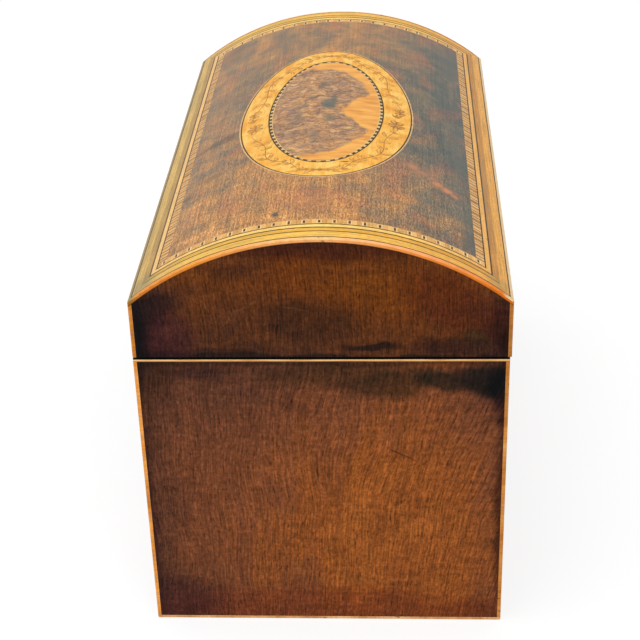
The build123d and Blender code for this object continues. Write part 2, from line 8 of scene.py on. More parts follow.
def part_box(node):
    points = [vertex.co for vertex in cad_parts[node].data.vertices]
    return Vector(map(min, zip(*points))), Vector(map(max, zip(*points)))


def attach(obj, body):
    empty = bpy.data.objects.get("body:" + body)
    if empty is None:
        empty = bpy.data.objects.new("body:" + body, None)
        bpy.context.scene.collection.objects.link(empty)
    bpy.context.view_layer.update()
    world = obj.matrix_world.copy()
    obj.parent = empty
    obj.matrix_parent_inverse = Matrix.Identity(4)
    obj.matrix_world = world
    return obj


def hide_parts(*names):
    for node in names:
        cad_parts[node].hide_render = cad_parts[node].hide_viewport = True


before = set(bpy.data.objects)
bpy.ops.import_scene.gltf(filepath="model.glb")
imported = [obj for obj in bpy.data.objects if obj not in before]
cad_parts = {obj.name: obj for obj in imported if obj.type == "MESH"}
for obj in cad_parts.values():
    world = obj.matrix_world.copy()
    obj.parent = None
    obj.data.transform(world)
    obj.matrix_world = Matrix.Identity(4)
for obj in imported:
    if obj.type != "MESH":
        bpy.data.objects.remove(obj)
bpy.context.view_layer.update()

MM = 0.001


# Carcase: case boards 8 mm thick, a 6 mm bottom, and the lid's rails, gables and bent top board.
# Plain mahogany, planed by hand and left dull, glued and rubbed down. It shows at the rims and inside.


def linear(shade):
    """A colour written as sRGB hex, turned into the linear RGBA that a socket takes."""
    levels = [int(shade[at : at + 2], 16) / 255 for at in (1, 3, 5)]
    return [*(v / 12.92 if v <= 0.04045 else ((v + 0.055) / 1.055) ** 2.4 for v in levels), 1.0]


def add(tree, kind, feeds=(), stops=(), into=None, **settings):
    """One node with its settings. feeds gives an input, by name or number, a node, a socket, a colour or a
    number. stops are a ramp's places with their colours or grey levels, into the socket that it feeds."""
    node = tree.nodes.new(kind)
    for setting, value in settings.items():
        setattr(node, setting, value)
    for key, value in dict(feeds).items():
        socket = node.inputs[key] if isinstance(key, int) else next(
            s for s in node.inputs if s.name == key and s.enabled
        )
        if isinstance(value, bpy.types.Node):
            value = next(out for out in value.outputs if out.enabled)
        if isinstance(value, bpy.types.NodeSocket):
            tree.links.new(value, socket)
        elif isinstance(value, str) and value.startswith("#"):
            socket.default_value = linear(value)
        else:
            socket.default_value = value
    if stops:
        marks = node.color_ramp.elements
        marks.remove(marks[1])
        for number, (place, level) in enumerate(stops):
            mark = marks.new(place) if number else marks[0]
            mark.position = place
            mark.color = linear(level) if isinstance(level, str) else (level, level, level, 1.0)
    if into:
        tree.links.new(next(out for out in node.outputs if out.enabled), into)
    return node


def new_finish(name, sockets):
    """A new material with its tree, its shader and its Object coordinates. What is the same all over goes on
    the shader's own sockets."""
    material = bpy.data.materials.new(name)
    material.use_nodes = True
    tree = material.node_tree
    shader = tree.nodes["Principled BSDF"]
    for socket, value in sockets.items():
        shader.inputs[socket].default_value = linear(value) if isinstance(value, str) else value
    return material, tree, shader, add(tree, "ShaderNodeTexCoord").outputs["Object"]


def mottle(tree, place, marks, detail=2.0, swirl=0.0):
    """Soft light and dark marks, each about marks = (x, y, z) millimetres long."""
    scaled = add(tree, "ShaderNodeMapping", {"Vector": place, "Scale": [1000 / size for size in marks]})
    return add(
        tree, "ShaderNodeTexNoise", {"Vector": scaled, "Scale": 1.0, "Detail": detail, "Distortion": swirl}
    )


def lying(along, length, width):
    """Sizes of a mark that is long on one axis, 0 to 2, and narrow on the others."""
    return [length if axis == along else width for axis in range(3)]


def toned(tree, colour, *layers, into=None):
    """A colour that layers of marks darken and lighten in turn. Each is its marks, their span, low to high,
    and the two levels that the colour is multiplied by over that span."""
    for number, (marks, span, levels) in enumerate(layers, 1):
        feeds = {"Value": marks, "From Min": span[0], "From Max": span[1]}
        share = add(tree, "ShaderNodeMapRange", {**feeds, "To Min": levels[0], "To Max": levels[1]})
        colour = add(
            tree, "ShaderNodeMix", {"Factor": 1.0, "A": colour, "B": share},
            into=into if number == len(layers) else None, data_type="RGBA", blend_type="MULTIPLY",
        )
    return colour


def grained(tree, shader, tone, layers, relief, strength, deep):
    """Ends a wood: layers of marks over its tone, and the relief of its surface, deep mm."""
    toned(tree, tone, *layers, into=shader.inputs["Base Color"])
    add(
        tree, "ShaderNodeBump", {"Height": relief, "Strength": strength, "Distance": deep * MM},
        into=shader.inputs["Normal"],
    )


def put_on(material, *names):
    """Gives the CAD nodes of these names this material."""
    for name in names:
        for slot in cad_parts[name].material_slots:
            slot.material = material


def planed_mahogany(name, along):
    """Straight grain 1.6 mm apart with short pores, red-brown and dry: the eye reads bare, dull wood."""
    material, tree, shader, place = new_finish(name, {"Roughness": 0.6, "Specular IOR Level": 0.3})
    grain = mottle(tree, place, lying(along, 70, 1.6), 3.0)
    pores = mottle(tree, place, lying(along, 6, 0.45), 1.0)
    tone = add(
        tree, "ShaderNodeValToRGB", {"Fac": grain}, [(0.3, "#4B2A1B"), (0.5, "#6B4029"), (0.72, "#85563B")]
    )
    grained(tree, shader, tone, [(pores, (0.34, 0.45), (0.55, 1.0))], pores, 0.3, 0.1)
    return material


planed_along_x = planed_mahogany("planed_mahogany_long_boards", 0)
planed_along_y = planed_mahogany("planed_mahogany_end_boards", 1)
put_on(planed_along_x, "case_front_board", "case_back_board", "bottom_board")
put_on(planed_along_x, "lid_front_rail", "lid_back_rail", "lid_top_board")
put_on(planed_along_y, "case_left_board", "case_right_board", "lid_left_gable", "lid_right_gable")


# Baize: one rectangle of green woollen cloth glued under the bottom board, 1 mm in from the foot strings.
# Napped and shorn; its cut edge is a little wavy.
baize_low, baize_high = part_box("base_baize")
baize_steps = (60, 34)
baize_edge_wave = 0.25 * MM
baize_waves_along = 400
baize_waves_across = 350


def link_piece(name, mesh, body, material=None):
    """A finished piece in the scene, riding on a CAD body and its material."""
    piece = bpy.data.objects.new(name, mesh)
    bpy.context.scene.collection.objects.link(piece)
    if material:
        mesh.materials.append(material)
    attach(piece, body)
    return piece


def mesh_of(name, vertices, faces, smooth=False):
    """A closed mesh from its points and faces, with its faces turned outwards."""
    mesh = bpy.data.meshes.new(name)
    mesh.from_pydata(vertices, [], faces)
    shell = bmesh.new()
    shell.from_mesh(mesh)
    bmesh.ops.recalc_face_normals(shell, faces=shell.faces)
    shell.to_mesh(mesh)
    shell.free()
    mesh.shade_smooth() if smooth else mesh.shade_flat()
    return mesh


baize_points = []
for level in (baize_low.z, baize_high.z):
    for row in range(baize_steps[1] + 1):
        for column in range(baize_steps[0] + 1):
            across, up = column / baize_steps[0], row / baize_steps[1]
            x = baize_low.x + across * (baize_high.x - baize_low.x)
            y = baize_low.y + up * (baize_high.y - baize_low.y)
            if row in (0, baize_steps[1]):
                y -= math.copysign(baize_edge_wave * (1 + math.sin(x * baize_waves_along)), y)
            if column in (0, baize_steps[0]):
                x -= math.copysign(baize_edge_wave * (1 + math.sin(y * baize_waves_across)), x)
            baize_points.append((x, y, level))
baize_row = baize_steps[0] + 1
baize_layer = baize_row * (baize_steps[1] + 1)
baize_faces = []
for row in range(baize_steps[1]):
    for column in range(baize_steps[0]):
        corner = row * baize_row + column
        quad = (corner, corner + 1, corner + baize_row + 1, corner + baize_row)
        baize_faces += [quad[::-1], tuple(at + baize_layer for at in quad)]
baize_rim = [
    *range(baize_steps[0]),
    *range(baize_steps[0], baize_layer - 1, baize_row),
    *range(baize_layer - 1, baize_layer - 1 - baize_steps[0], -1),
    *range(baize_layer - baize_row, 0, -baize_row),
]
for here, beyond in zip(baize_rim, baize_rim[1:] + baize_rim[:1]):
    baize_faces.append((here, beyond, beyond + baize_layer, here + baize_layer))

# Woollen baize, napped: no gloss, soft sheen at grazing light, threads 0.5 mm apart felted over.
baize_green, tree, shader, place = new_finish(
    "napped_woollen_baize",
    {"Roughness": 0.95, "Specular IOR Level": 0.1, "Sheen Weight": 0.5, "Sheen Roughness": 0.5},
)
nap = mottle(tree, place, (0.5, 0.5, 0.5), 3.0)
worn = mottle(tree, place, (18, 18, 18), 3.0)
cloth = add(tree, "ShaderNodeValToRGB", {"Fac": nap}, [(0.3, "#1E3A24"), (0.7, "#3C6340")])
faded = add(tree, "ShaderNodeValToRGB", {"Fac": worn}, [(0.5, 0.0), (0.75, 0.45)])
add(
    tree, "ShaderNodeMix", {"Factor": faded, "A": cloth, "B": "#6F7A55"}, into=shader.inputs["Base Color"],
    data_type="RGBA",
)
add(
    tree, "ShaderNodeBump", {"Height": nap, "Strength": 0.6, "Distance": 0.2 * MM},
    into=shader.inputs["Normal"],
)
baize_mesh = mesh_of("baize_sheet", baize_points, baize_faces)
baize = link_piece("baize_sheet", baize_mesh, "case", baize_green)
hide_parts("base_baize")


# Compartments: thin mahogany liners stand inside the case and carry the inner lids, and a divider slides
# into grooves in them. Each side is lined with a tub of beaten tea foil, folded in by hand and crinkled.
put_on(planed_along_x, "compartment_liners", "divider")

foil_cuts = 40
foil_wall = 0.2 * MM
foil_crinkle = 0.55 * MM
foil_folds_per_metre = 210
foil_creases_per_metre = 470
foil_crease_apart = 4.5

# Lead and tin foil, beaten and dulled: grey metal, crinkles about 4 mm across, darker in the folds.
tea_foil, tree, shader, place = new_finish("beaten_tea_foil", {"Metallic": 1.0, "Roughness": 0.42})
dull = mottle(tree, place, (9, 9, 9), 4.0, 0.8)
crease = {"Vector": place, "Scale": 1000 / foil_crease_apart}
crease = add(tree, "ShaderNodeTexVoronoi", crease, feature="DISTANCE_TO_EDGE")
add(
    tree, "ShaderNodeValToRGB", {"Fac": dull}, [(0.3, "#6E6D69"), (0.55, "#9A9993"), (0.75, "#B9B8B0")],
    into=shader.inputs["Base Color"],
)
add(
    tree, "ShaderNodeBump", {"Height": crease, "Strength": 0.7, "Distance": 0.8 * MM},
    into=shader.inputs["Normal"],
)
for side in ("left", "right"):
    low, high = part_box(f"{side}_foil_lining")
    middle, half = (low + high) / 2, (high - low) / 2
    shell = bmesh.new()
    bmesh.ops.create_cube(shell, size=2.0)
    bmesh.ops.delete(shell, geom=[f for f in shell.faces if f.normal.z > 0.5], context="FACES_ONLY")
    bmesh.ops.subdivide_edges(shell, edges=shell.edges, cuts=foil_cuts, use_grid_fill=True)
    for vertex in shell.verts:
        inward = Vector(-c if abs(c) > 0.999 else 0.0 for c in vertex.co)
        inward.z = 1.0 if vertex.co.z < -0.999 else 0.0
        vertex.co = Vector(m + c * h for m, c, h in zip(middle, vertex.co, half))
        depth = 0.5 + 0.5 * noise.noise(vertex.co * foil_folds_per_metre)
        depth = 0.6 * depth + 0.4 * abs(noise.noise(vertex.co * foil_creases_per_metre))
        vertex.co += inward * (foil_wall + foil_crinkle * depth)
    foil_mesh = bpy.data.meshes.new(f"{side}_foil_tub")
    shell.to_mesh(foil_mesh)
    shell.free()
    foil_mesh.shade_flat()
    foil = link_piece(f"{side}_foil_tub", foil_mesh, "case", tea_foil)
    thick = foil.modifiers.new("foil thickness", "SOLIDIFY")
    thick.thickness = foil_wall
    thick.offset = 0.0
    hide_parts(f"{side}_foil_lining")


# Lock: an L-shaped brass plate let into the front board behind the keyhole, with its cap, key pin, sliding
# bolt, flat spring and steel screws; the hook that the bolt catches stands on a plate in the lid.


def aged_metal(name, shades, roughness, wear):
    """Filed metal gone dull: a warm or grey ground with tarnish in soft spots, wear mm across."""
    material, tree, shader, place = new_finish(name, {"Metallic": 1.0})
    tarnish = mottle(tree, place, (wear, wear, wear), 4.0, 0.4)
    filing = mottle(tree, place, (3.0, 0.25, 0.25), 2.0)
    add(
        tree, "ShaderNodeValToRGB", {"Fac": tarnish}, list(zip((0.32, 0.5, 0.7), shades)),
        into=shader.inputs["Base Color"],
    )
    add(
        tree, "ShaderNodeMapRange",
        {"Value": tarnish, "To Min": roughness + 0.18, "To Max": roughness - 0.1},
        into=shader.inputs["Roughness"],
    )
    add(
        tree, "ShaderNodeBump", {"Height": filing, "Strength": 0.25, "Distance": 0.05 * MM},
        into=shader.inputs["Normal"],
    )
    return material


lock_brass = aged_metal("filed_brass", ("#5E4A26", "#A98545", "#C9A55E"), 0.38, 5.0)
screw_steel = aged_metal("filed_steel", ("#3B2E27", "#6A645E", "#8C8882"), 0.45, 2.0)
spring_steel = aged_metal("blued_spring_steel", ("#2E3138", "#454B57", "#6C7079"), 0.35, 4.0)
put_on(lock_brass, "lock_plate", "lock_cap", "lock_bolt", "lid_hook", "hook_plate")
put_on(screw_steel, "lock_key_pin", "lock_screws", "hook_plate_screws")
put_on(spring_steel, "lock_spring")


# Hinges: two brass butts let into the back rim and the lid's back rail, five knuckles each on a steel pin,
# with countersunk steel screws.
put_on(lock_brass, "case_hinge_leaves", "lid_hinge_leaves")
put_on(screw_steel, "hinge_pins", "case_hinge_screws", "lid_hinge_screws")


# Case and lid sides: mahogany veneer 1.2 mm thick, sawn, glued down with a hammer, scraped and waxed over
# two centuries. Long grain on front and back, upright grain on the ends.


def figured_mahogany(name, along, shades, figure):
    """Cloudy figure, fine lines, a soft cross ripple and short pores filled with wax: a dull gloss."""
    material, tree, shader, place = new_finish(name, {"Roughness": 0.42, "Specular IOR Level": 0.12})
    cloud = mottle(tree, place, figure, 3.0, 0.9)
    grain = mottle(tree, place, lying(along, 26, 1.1), 3.0, 0.2)
    lines = mottle(tree, place, lying(along, 12, 0.4), 2.0)
    ripple = mottle(tree, place, lying(along, 2.4, 14), 1.0, 0.3)
    flecks = mottle(tree, place, lying(along, 2.2, 0.7), 3.0, 0.4)
    pores = mottle(tree, place, lying(along, 4.0, 0.4), 1.0)
    both = add(tree, "ShaderNodeMath", {0: grain, 1: 0.3, 2: cloud}, operation="MULTIPLY_ADD")
    tone = add(tree, "ShaderNodeValToRGB", {"Fac": both}, list(zip((0.42, 0.56, 0.68, 0.84), shades)))
    layers = [
        (lines, (0.35, 0.65), (0.74, 1.16)), (flecks, (0.33, 0.66), (0.78, 1.2)),
        (ripple, (0.35, 0.65), (0.91, 1.07)), (pores, (0.3, 0.4), (0.56, 1.0)),
    ]
    grained(tree, shader, tone, layers, pores, 0.2, 0.06)
    return material


mahogany_shades = ("#3B2018", "#5D3320", "#7A4528", "#93532B")
front_mahogany = figured_mahogany("waxed_mahogany_front_and_back", 0, mahogany_shades, (60, 22, 22))
right_mahogany = figured_mahogany("waxed_mahogany_right_end", 2, mahogany_shades, (30, 30, 60))
put_on(front_mahogany, "case_front_veneer", "case_back_veneer", "lid_front_veneer", "lid_back_veneer")
put_on(right_mahogany, "case_right_veneer", "lid_right_veneer")


# The left end, which the photograph shows: one leaf whose grain stands upright at the back and leans over
# towards the front, red-brown, with a black stain under the joint at the front corner.
case_half_y = 57.5 * MM
case_top = 101.4 * MM


def smudged(tree, colour, surface, smudges, into=None, wander=5.0, fade=0.3):
    """A colour with soft oval marks on a flat or unrolled surface. Each has its spot and half sizes in mm,
    its turn in degrees, its shade and its strength; their edges wander by so many mm, and each is full up
    to the share fade of its half size."""
    wave = mottle(tree, surface, (9, 9, 9), 3.0).outputs["Color"]
    wave = add(tree, "ShaderNodeVectorMath", {0: wave, 1: (0.5, 0.5, 0.5)}, operation="SUBTRACT")
    wave = add(tree, "ShaderNodeVectorMath", {0: wave, "Scale": wander * MM}, operation="SCALE")
    waved = add(tree, "ShaderNodeVectorMath", {0: surface, 1: wave}, operation="ADD")
    waved = add(tree, "ShaderNodeVectorMath", {0: waved, 1: (1.0, 1.0, 0.0)}, operation="MULTIPLY")
    for number, (spot, reach, turn, shade, strength) in enumerate(smudges, 1):
        there = add(
            tree, "ShaderNodeMapping",
            {
                "Vector": waved, "Location": (spot[0] * MM, spot[1] * MM, 0.0),
                "Rotation": (0.0, 0.0, math.radians(turn)), "Scale": (reach[0] * MM, reach[1] * MM, 1.0),
            },
            vector_type="TEXTURE",
        )
        away = add(tree, "ShaderNodeVectorMath", {0: there}, operation="LENGTH")
        inside = add(
            tree, "ShaderNodeMapRange",
            {"Value": away, "From Min": fade, "From Max": 1.15, "To Min": strength, "To Max": 0.0},
            interpolation_type="SMOOTHSTEP",
        )
        colour = add(
            tree, "ShaderNodeMix", {"Factor": inside, "A": colour, "B": shade},
            into=into if number == len(smudges) else None, data_type="RGBA",
        )
    return colour


def end_leaf(name, low, high, lean, cloud_marks, wood_and_painted_light_by_side, wood_and_painted_light_by_height, span, shades, smudges):
    """Upright veneer on an end, filled with wax: fine lines, faint ripple, few pores, low gloss. Its depth
    of colour goes by side, from back to front, and by height; these two ramps hold the wood's own tone and
    painted light together. smudges are (y, z), half sizes, turn in degrees, shade and strength, in mm."""
    material, tree, shader, place = new_finish(name, {"Roughness": 0.45, "Specular IOR Level": 0.06})
    axes = add(tree, "ShaderNodeSeparateXYZ", {"Vector": place})
    forward = add(
        tree, "ShaderNodeMapRange",
        {"Value": axes.outputs["Y"], "From Min": case_half_y, "From Max": -case_half_y},
    )
    upward = {"Value": axes.outputs["Z"], "From Min": low, "From Max": high}
    upward = add(tree, "ShaderNodeMapRange", upward)
    bent = add(tree, "ShaderNodeMath", {0: forward, 1: forward}, operation="MULTIPLY")
    bent = add(tree, "ShaderNodeMath", {0: bent, 1: axes.outputs["Z"]}, operation="MULTIPLY")
    across = add(tree, "ShaderNodeMath", {0: bent, 1: lean, 2: axes.outputs["Y"]}, operation="MULTIPLY_ADD")
    sway = mottle(tree, place, (30, 34, 40), 1.0)
    across = add(tree, "ShaderNodeMath", {0: sway, 1: 8 * MM, 2: across}, operation="MULTIPLY_ADD")
    leaf = add(tree, "ShaderNodeCombineXYZ", {"X": axes.outputs["X"], "Y": across, "Z": axes.outputs["Z"]})
    cloud = mottle(tree, leaf, cloud_marks, 3.0, 0.8)
    grain = mottle(tree, leaf, (3, 1.3, 26), 3.0, 0.3)
    depth = add(tree, "ShaderNodeValToRGB", {"Fac": forward}, wood_and_painted_light_by_side)
    raised = add(tree, "ShaderNodeValToRGB", {"Fac": upward}, wood_and_painted_light_by_height)
    depth = add(tree, "ShaderNodeMath", {0: depth, 1: raised}, operation="ADD")
    depth = add(tree, "ShaderNodeMath", {0: cloud, 1: 0.45, 2: depth}, operation="MULTIPLY_ADD")
    depth = add(tree, "ShaderNodeMath", {0: grain, 1: 0.3, 2: depth}, operation="MULTIPLY_ADD")
    depth = add(tree, "ShaderNodeMapRange", {"Value": depth, "From Min": span[0], "From Max": span[1]})
    tone = add(tree, "ShaderNodeValToRGB", {"Fac": depth}, shades)
    face = add(tree, "ShaderNodeCombineXYZ", {"X": axes.outputs["Y"], "Y": axes.outputs["Z"], "Z": 0.0})
    tone = smudged(tree, tone, face, smudges, fade=0.5)
    ripple = mottle(tree, leaf, (3, 9, 2.0), 2.0, 0.6)
    streaks = mottle(tree, leaf, (3, 1.0, 22), 3.0, 0.5)
    lines = mottle(tree, leaf, (3, 0.5, 11), 3.0, 0.5)
    flecks = mottle(tree, leaf, (1.5, 0.7, 2.0), 3.0, 0.4)
    speckle = mottle(tree, place, (0.9, 0.9, 0.65), 2.0)
    pores = mottle(tree, leaf, (3, 0.45, 3.4), 1.0, 0.3)
    layers = [
        (ripple, (0.35, 0.65), (0.86, 1.1)), (streaks, (0.34, 0.64), (0.84, 1.12)),
        (lines, (0.34, 0.64), (0.69, 1.2)), (flecks, (0.32, 0.66), (0.72, 1.24)),
        (speckle, (0.3, 0.7), (0.79, 1.23)), (pores, (0.3, 0.4), (0.46, 1.0)),
    ]
    grained(tree, shader, tone, layers, lines, 0.12, 0.05)
    return material


left_mahogany = end_leaf(
    "waxed_mahogany_left_end", 0.0, case_top, 0.25, (40, 14, 44),
    # Side and height ramps: the wood's tone with painted light, lightest low down and towards the front,
    # darker at the back edge, the front edge and the top.
    [
        (0.0, 0.0), (0.03, 0.2), (0.12, 0.38), (0.35, 0.54), (0.6, 0.7), (0.8, 0.76), (0.9, 0.64),
        (0.97, 0.48), (1.0, 0.3),
    ],
    [(0.0, 0.3), (0.07, 0.4), (0.3, 0.5), (0.6, 0.46), (0.8, 0.32), (0.93, 0.17), (1.0, 0.08)],
    (0.6, 1.7),
    [
        (0.0, "#2A1712"), (0.16, "#432618"), (0.42, "#643A27"), (0.66, "#804829"), (0.85, "#965222"),
        (1.0, "#A86028"),
    ],
    [
        ((-2, 4), (70, 11), 0, "#78341A", 0.5), ((50, 8), (18, 12), 0, "#3A1B1D", 0.65),
        ((-4, 96), (26, 6.0), -3, "#34220F", 0.6), ((-22, 92.5), (17, 6.5), -9, "#2A1F10", 0.7),
        ((-37, 93.2), (10, 4.4), 14, "#1A1A12", 0.8), ((-51, 93.5), (13, 6.4), 12, "#0F100F", 0.92),
        ((-57, 91), (8, 9), 0, "#08090B", 0.97), ((-57, 84), (6, 7), 0, "#240E12", 0.7),
        ((-36, 99), (14, 1.8), -3, "#6E3A18", 0.5), ((0, 100.6), (75, 2.0), 0, "#241206", 0.55),
        ((38, 96.5), (10, 3.4), 0, "#28161A", 0.5), ((10, 85.5), (2.2, 4.0), -12, "#3A2018", 0.4),
        ((5.5, 83.5), (1.4, 2.6), -12, "#3A2018", 0.4), ((56.5, 40), (2.6, 44), 0, "#321718", 0.6),
        ((-24.5, 66.5), (6.0, 0.45), 33, "#3E1E10", 0.6), ((-40, 22), (22, 14), 0, "#9A5322", 0.3),
        ((-58, 45), (4.6, 52), 0, "#341609", 0.8), ((-52, 4), (14, 6), 0, "#5E2A12", 0.4),
    ],
)
put_on(left_mahogany, "case_left_veneer")


# The left gable of the lid: the same kind of leaf, redder and darker, nearly black at the back corner and
# along its lower edge, with a dark cloud behind the middle.
gable_low = 102.1 * MM
gable_high = 142.2 * MM
gable_mahogany = end_leaf(
    "waxed_mahogany_left_gable", gable_low, gable_high, 0.0, (34, 16, 14),
    [
        (0.0, 0.0), (0.05, 0.16), (0.16, 0.44), (0.36, 0.48), (0.5, 0.52), (0.7, 0.6), (0.88, 0.46),
        (1.0, 0.22),
    ],
    [(0.0, 0.04), (0.05, 0.14), (0.11, 0.18), (0.4, 0.34), (0.65, 0.46), (0.84, 0.36), (1.0, 0.08)],
    (0.5, 1.5),
    [
        (0.0, "#180F10"), (0.2, "#2E1B18"), (0.45, "#4A2A1B"), (0.7, "#643516"), (0.88, "#70390F"),
        (1.0, "#7C4416"),
    ],
    [
        ((-20, 124), (20, 9), 0, "#763E0E", 0.4), ((10, 131), (8, 9), 0, "#74390F", 0.35),
        ((-40, 120), (21, 10), 30, "#4E1A0A", 0.5), ((0, 139.5), (36, 6), 0, "#38120A", 0.6),
        ((3.5, 114.5), (18, 8.2), 4, "#2A1A12", 0.56), ((26, 131), (6, 3.6), 10, "#2E1A14", 0.4),
        ((52, 117.5), (13, 6.5), -33, "#190F13", 0.75), ((58.5, 108), (8, 18), 0, "#0D0A0D", 0.95),
        ((46, 121.5), (14, 4.2), -28, "#281719", 0.24), ((45, 108), (9, 11), 0, "#4E1C26", 0.35),
        ((-16, 106.0), (10, 1.4), 0, "#0F0C0B", 0.85), ((-57, 107), (3.5, 5.0), 0, "#0E0A09", 0.9),
        ((-47, 108.5), (4, 3.2), 0, "#3A2B14", 0.5), ((12.6, 112), (0.6, 3.0), 9, "#120C0B", 0.75),
        ((40, 103.5), (24, 1.4), 0, "#100C0E", 0.4), ((-38, 106), (13, 3.4), 0, "#1A0D10", 0.6),
        ((24, 118), (8, 0.3), -38, "#7A5030", 0.3), ((33, 122), (5, 0.25), -62, "#6E4A30", 0.4),
        ((8, 118.5), (5, 0.25), 12, "#76502C", 0.3), ((0, 102.0), (70, 1.3), 0, "#14100F", 0.7),
        ((-56, 112), (7, 10), 0, "#280C08", 0.65),
    ],
)
put_on(gable_mahogany, "lid_left_veneer")


# Edge strings: square boxwood strips 1.2 mm wide let into every arris of case and lid, glued, then scraped
# flush and rounded by wear. The rim of the case has a paler, thinner string of holly.


def stringing(name, along, shades, sheen=0.15, back=1.0):
    """Fine-grained pale wood gone orange under old polish, with soft patches, fine ticks across and a few
    dark nicks. Its tone at the back of the box is back times that at the front."""
    material, tree, shader, place = new_finish(name, {"Roughness": 0.42, "Specular IOR Level": sheen})
    grain = mottle(tree, place, lying(along, 14, 0.5), 2.0)
    ticks = mottle(tree, place, lying(along, 0.7, 4), 1.0)
    patches = mottle(tree, place, (9, 9, 9), 3.0)
    nicks = mottle(tree, place, (2.4, 2.4, 2.4), 1.0)
    mixed = add(tree, "ShaderNodeMath", {0: grain, 1: 0.5, 2: patches}, operation="MULTIPLY_ADD")
    tone = add(tree, "ShaderNodeValToRGB", {"Fac": mixed}, list(zip((0.5, 0.75, 1.0), shades)))
    backward = add(tree, "ShaderNodeSeparateXYZ", {"Vector": place}).outputs["Y"]
    layers = [
        (ticks, (0.38, 0.62), (0.88, 1.06)), (backward, (-case_half_y, case_half_y), (1.0, back)),
        (nicks, (0.24, 0.3), (0.45, 1.0)),
    ]
    grained(tree, shader, tone, layers, grain, 0.2, 0.05)
    return material


boxwood_shades = ("#AE6A28", "#D48A3C", "#E8A252")
upright_boxwood = stringing("scraped_boxwood_upright", 2, boxwood_shades, back=1.3)
lid_boxwood = stringing("scraped_boxwood_lid_corners", 2, ("#8E5018", "#AE6C26", "#C68238"), back=1.5)
# The foot string's shades are lighter than the wood, to lift the shade where it meets the floor: painted
# light.
foot_boxwood = stringing("scraped_boxwood_foot", 1, ("#C48A50", "#ECB074", "#FAC88C"))
put_on(upright_boxwood, "case_corner_strings")
put_on(lid_boxwood, "lid_corner_strings")
put_on(foot_boxwood, "case_foot_strings")

# Holly rim string, scraped: a thin bright line, black along its top edge where the lid shuts on it, with
# dirt and painted shade of the gap, and brown along its lower edge.
rim_pale_from = 100.78 * MM
rim_pale_to = 101.26 * MM
rim_holly, tree, shader, place = new_finish(
    "scraped_holly_rim", {"Roughness": 0.5, "Specular IOR Level": 0.1}
)
height = add(tree, "ShaderNodeSeparateXYZ", {"Vector": place}).outputs["Z"]
grain = mottle(tree, place, (9, 9, 0.5), 3.0)
tone = add(
    tree, "ShaderNodeValToRGB", {"Fac": grain}, [(0.3, "#CC8E52"), (0.5, "#F0B670"), (0.7, "#FCCA8A")]
)
stained = add(
    tree, "ShaderNodeMapRange",
    {"Value": height, "From Min": rim_pale_from, "From Max": rim_pale_from - 0.1 * MM, "To Max": 0.75},
)
tone = add(tree, "ShaderNodeMix", {"Factor": stained, "A": tone, "B": "#5A3418"}, data_type="RGBA")
# Black top edge: dirt together with painted shade in the gap under the lid.
grime_and_painted_gap_shade = add(
    tree, "ShaderNodeMapRange",
    {"Value": height, "From Min": rim_pale_to, "From Max": rim_pale_to + 0.06 * MM},
)
add(
    tree, "ShaderNodeMix", {"Factor": grime_and_painted_gap_shade, "A": tone, "B": "#1E1711"}, into=shader.inputs["Base Color"],
    data_type="RGBA",
)
put_on(rim_holly, "case_rim_strings")


# Keyhole surround: a lozenge of bone let in flush round the keyhole in the front.
# Sawn from ox bone and polished, with fine lengthwise pores that hold dirt.


def polished_bone(name, along):
    """Cream to yellow, with pore lines 0.5 mm apart; a soft polish."""
    polish = {"Roughness": 0.3, "Specular IOR Level": 0.5, "IOR": 1.54}
    material, tree, shader, place = new_finish(name, polish)
    yellowed = mottle(tree, place, (6, 6, 6), 3.0)
    pores = mottle(tree, place, lying(along, 3.5, 0.3), 1.0)
    tone = add(
        tree, "ShaderNodeValToRGB", {"Fac": yellowed},
        [(0.3, "#CDB586"), (0.55, "#E6D9B8"), (0.75, "#EFE6CE")],
    )
    toned(tree, tone, (pores, (0.28, 0.38), (0.5, 1.0)), into=shader.inputs["Base Color"])
    return material


put_on(polished_bone("polished_bone_inlay", 2), "keyhole_escutcheon")


# Inner lids: two flat mahogany boards, edged with boxwood, that lift off the liners by turned bone knobs.
# Each knob is turned in one piece with a pin glued into the lid.
inner_mahogany = figured_mahogany(
    "waxed_mahogany_inner_lids", 0, ("#4A2A1A", "#6B3D25", "#86502F", "#9C6236"), (45, 20, 20)
)
put_on(inner_mahogany, "left_inner_lid", "right_inner_lid")
inner_boxwood = stringing("scraped_boxwood_inner_lids", 0, boxwood_shades)
put_on(inner_boxwood, "left_inner_lid_strings", "right_inner_lid_strings")

knob_x = 47.9
knob_base_z = 93.4
knob_turns = 48
# Radius and height over the lid, in mm: pin, foot with a bead, cove, collar and ball with two fine grooves.
knob_profile = [
    (0.0, -3.5), (1.2, -3.5), (1.25, 0.0), (2.9, 0.0), (3.0, 0.25), (3.0, 0.75), (2.85, 0.95), (2.5, 1.05),
    (2.55, 1.3), (2.35, 1.5), (1.95, 1.75), (1.72, 2.1), (1.7, 2.4), (1.9, 2.55), (2.05, 2.7), (1.95, 2.85),
]
ball_radius = 3.6
ball_centre = 5.4
ball_from = -45
ball_steps = 18
groove_steps = (6, 8)
groove_deep = 0.1
for step in range(ball_steps + 1):
    swing = math.radians(ball_from + (90 - ball_from) * step / ball_steps)
    reach = ball_radius - (groove_deep if step in groove_steps else 0.0)
    knob_profile.append((reach * math.cos(swing), ball_centre + reach * math.sin(swing)))
knob_profile[-1] = (0.0, ball_centre + ball_radius)
turned_bone = polished_bone("turned_bone", 2)
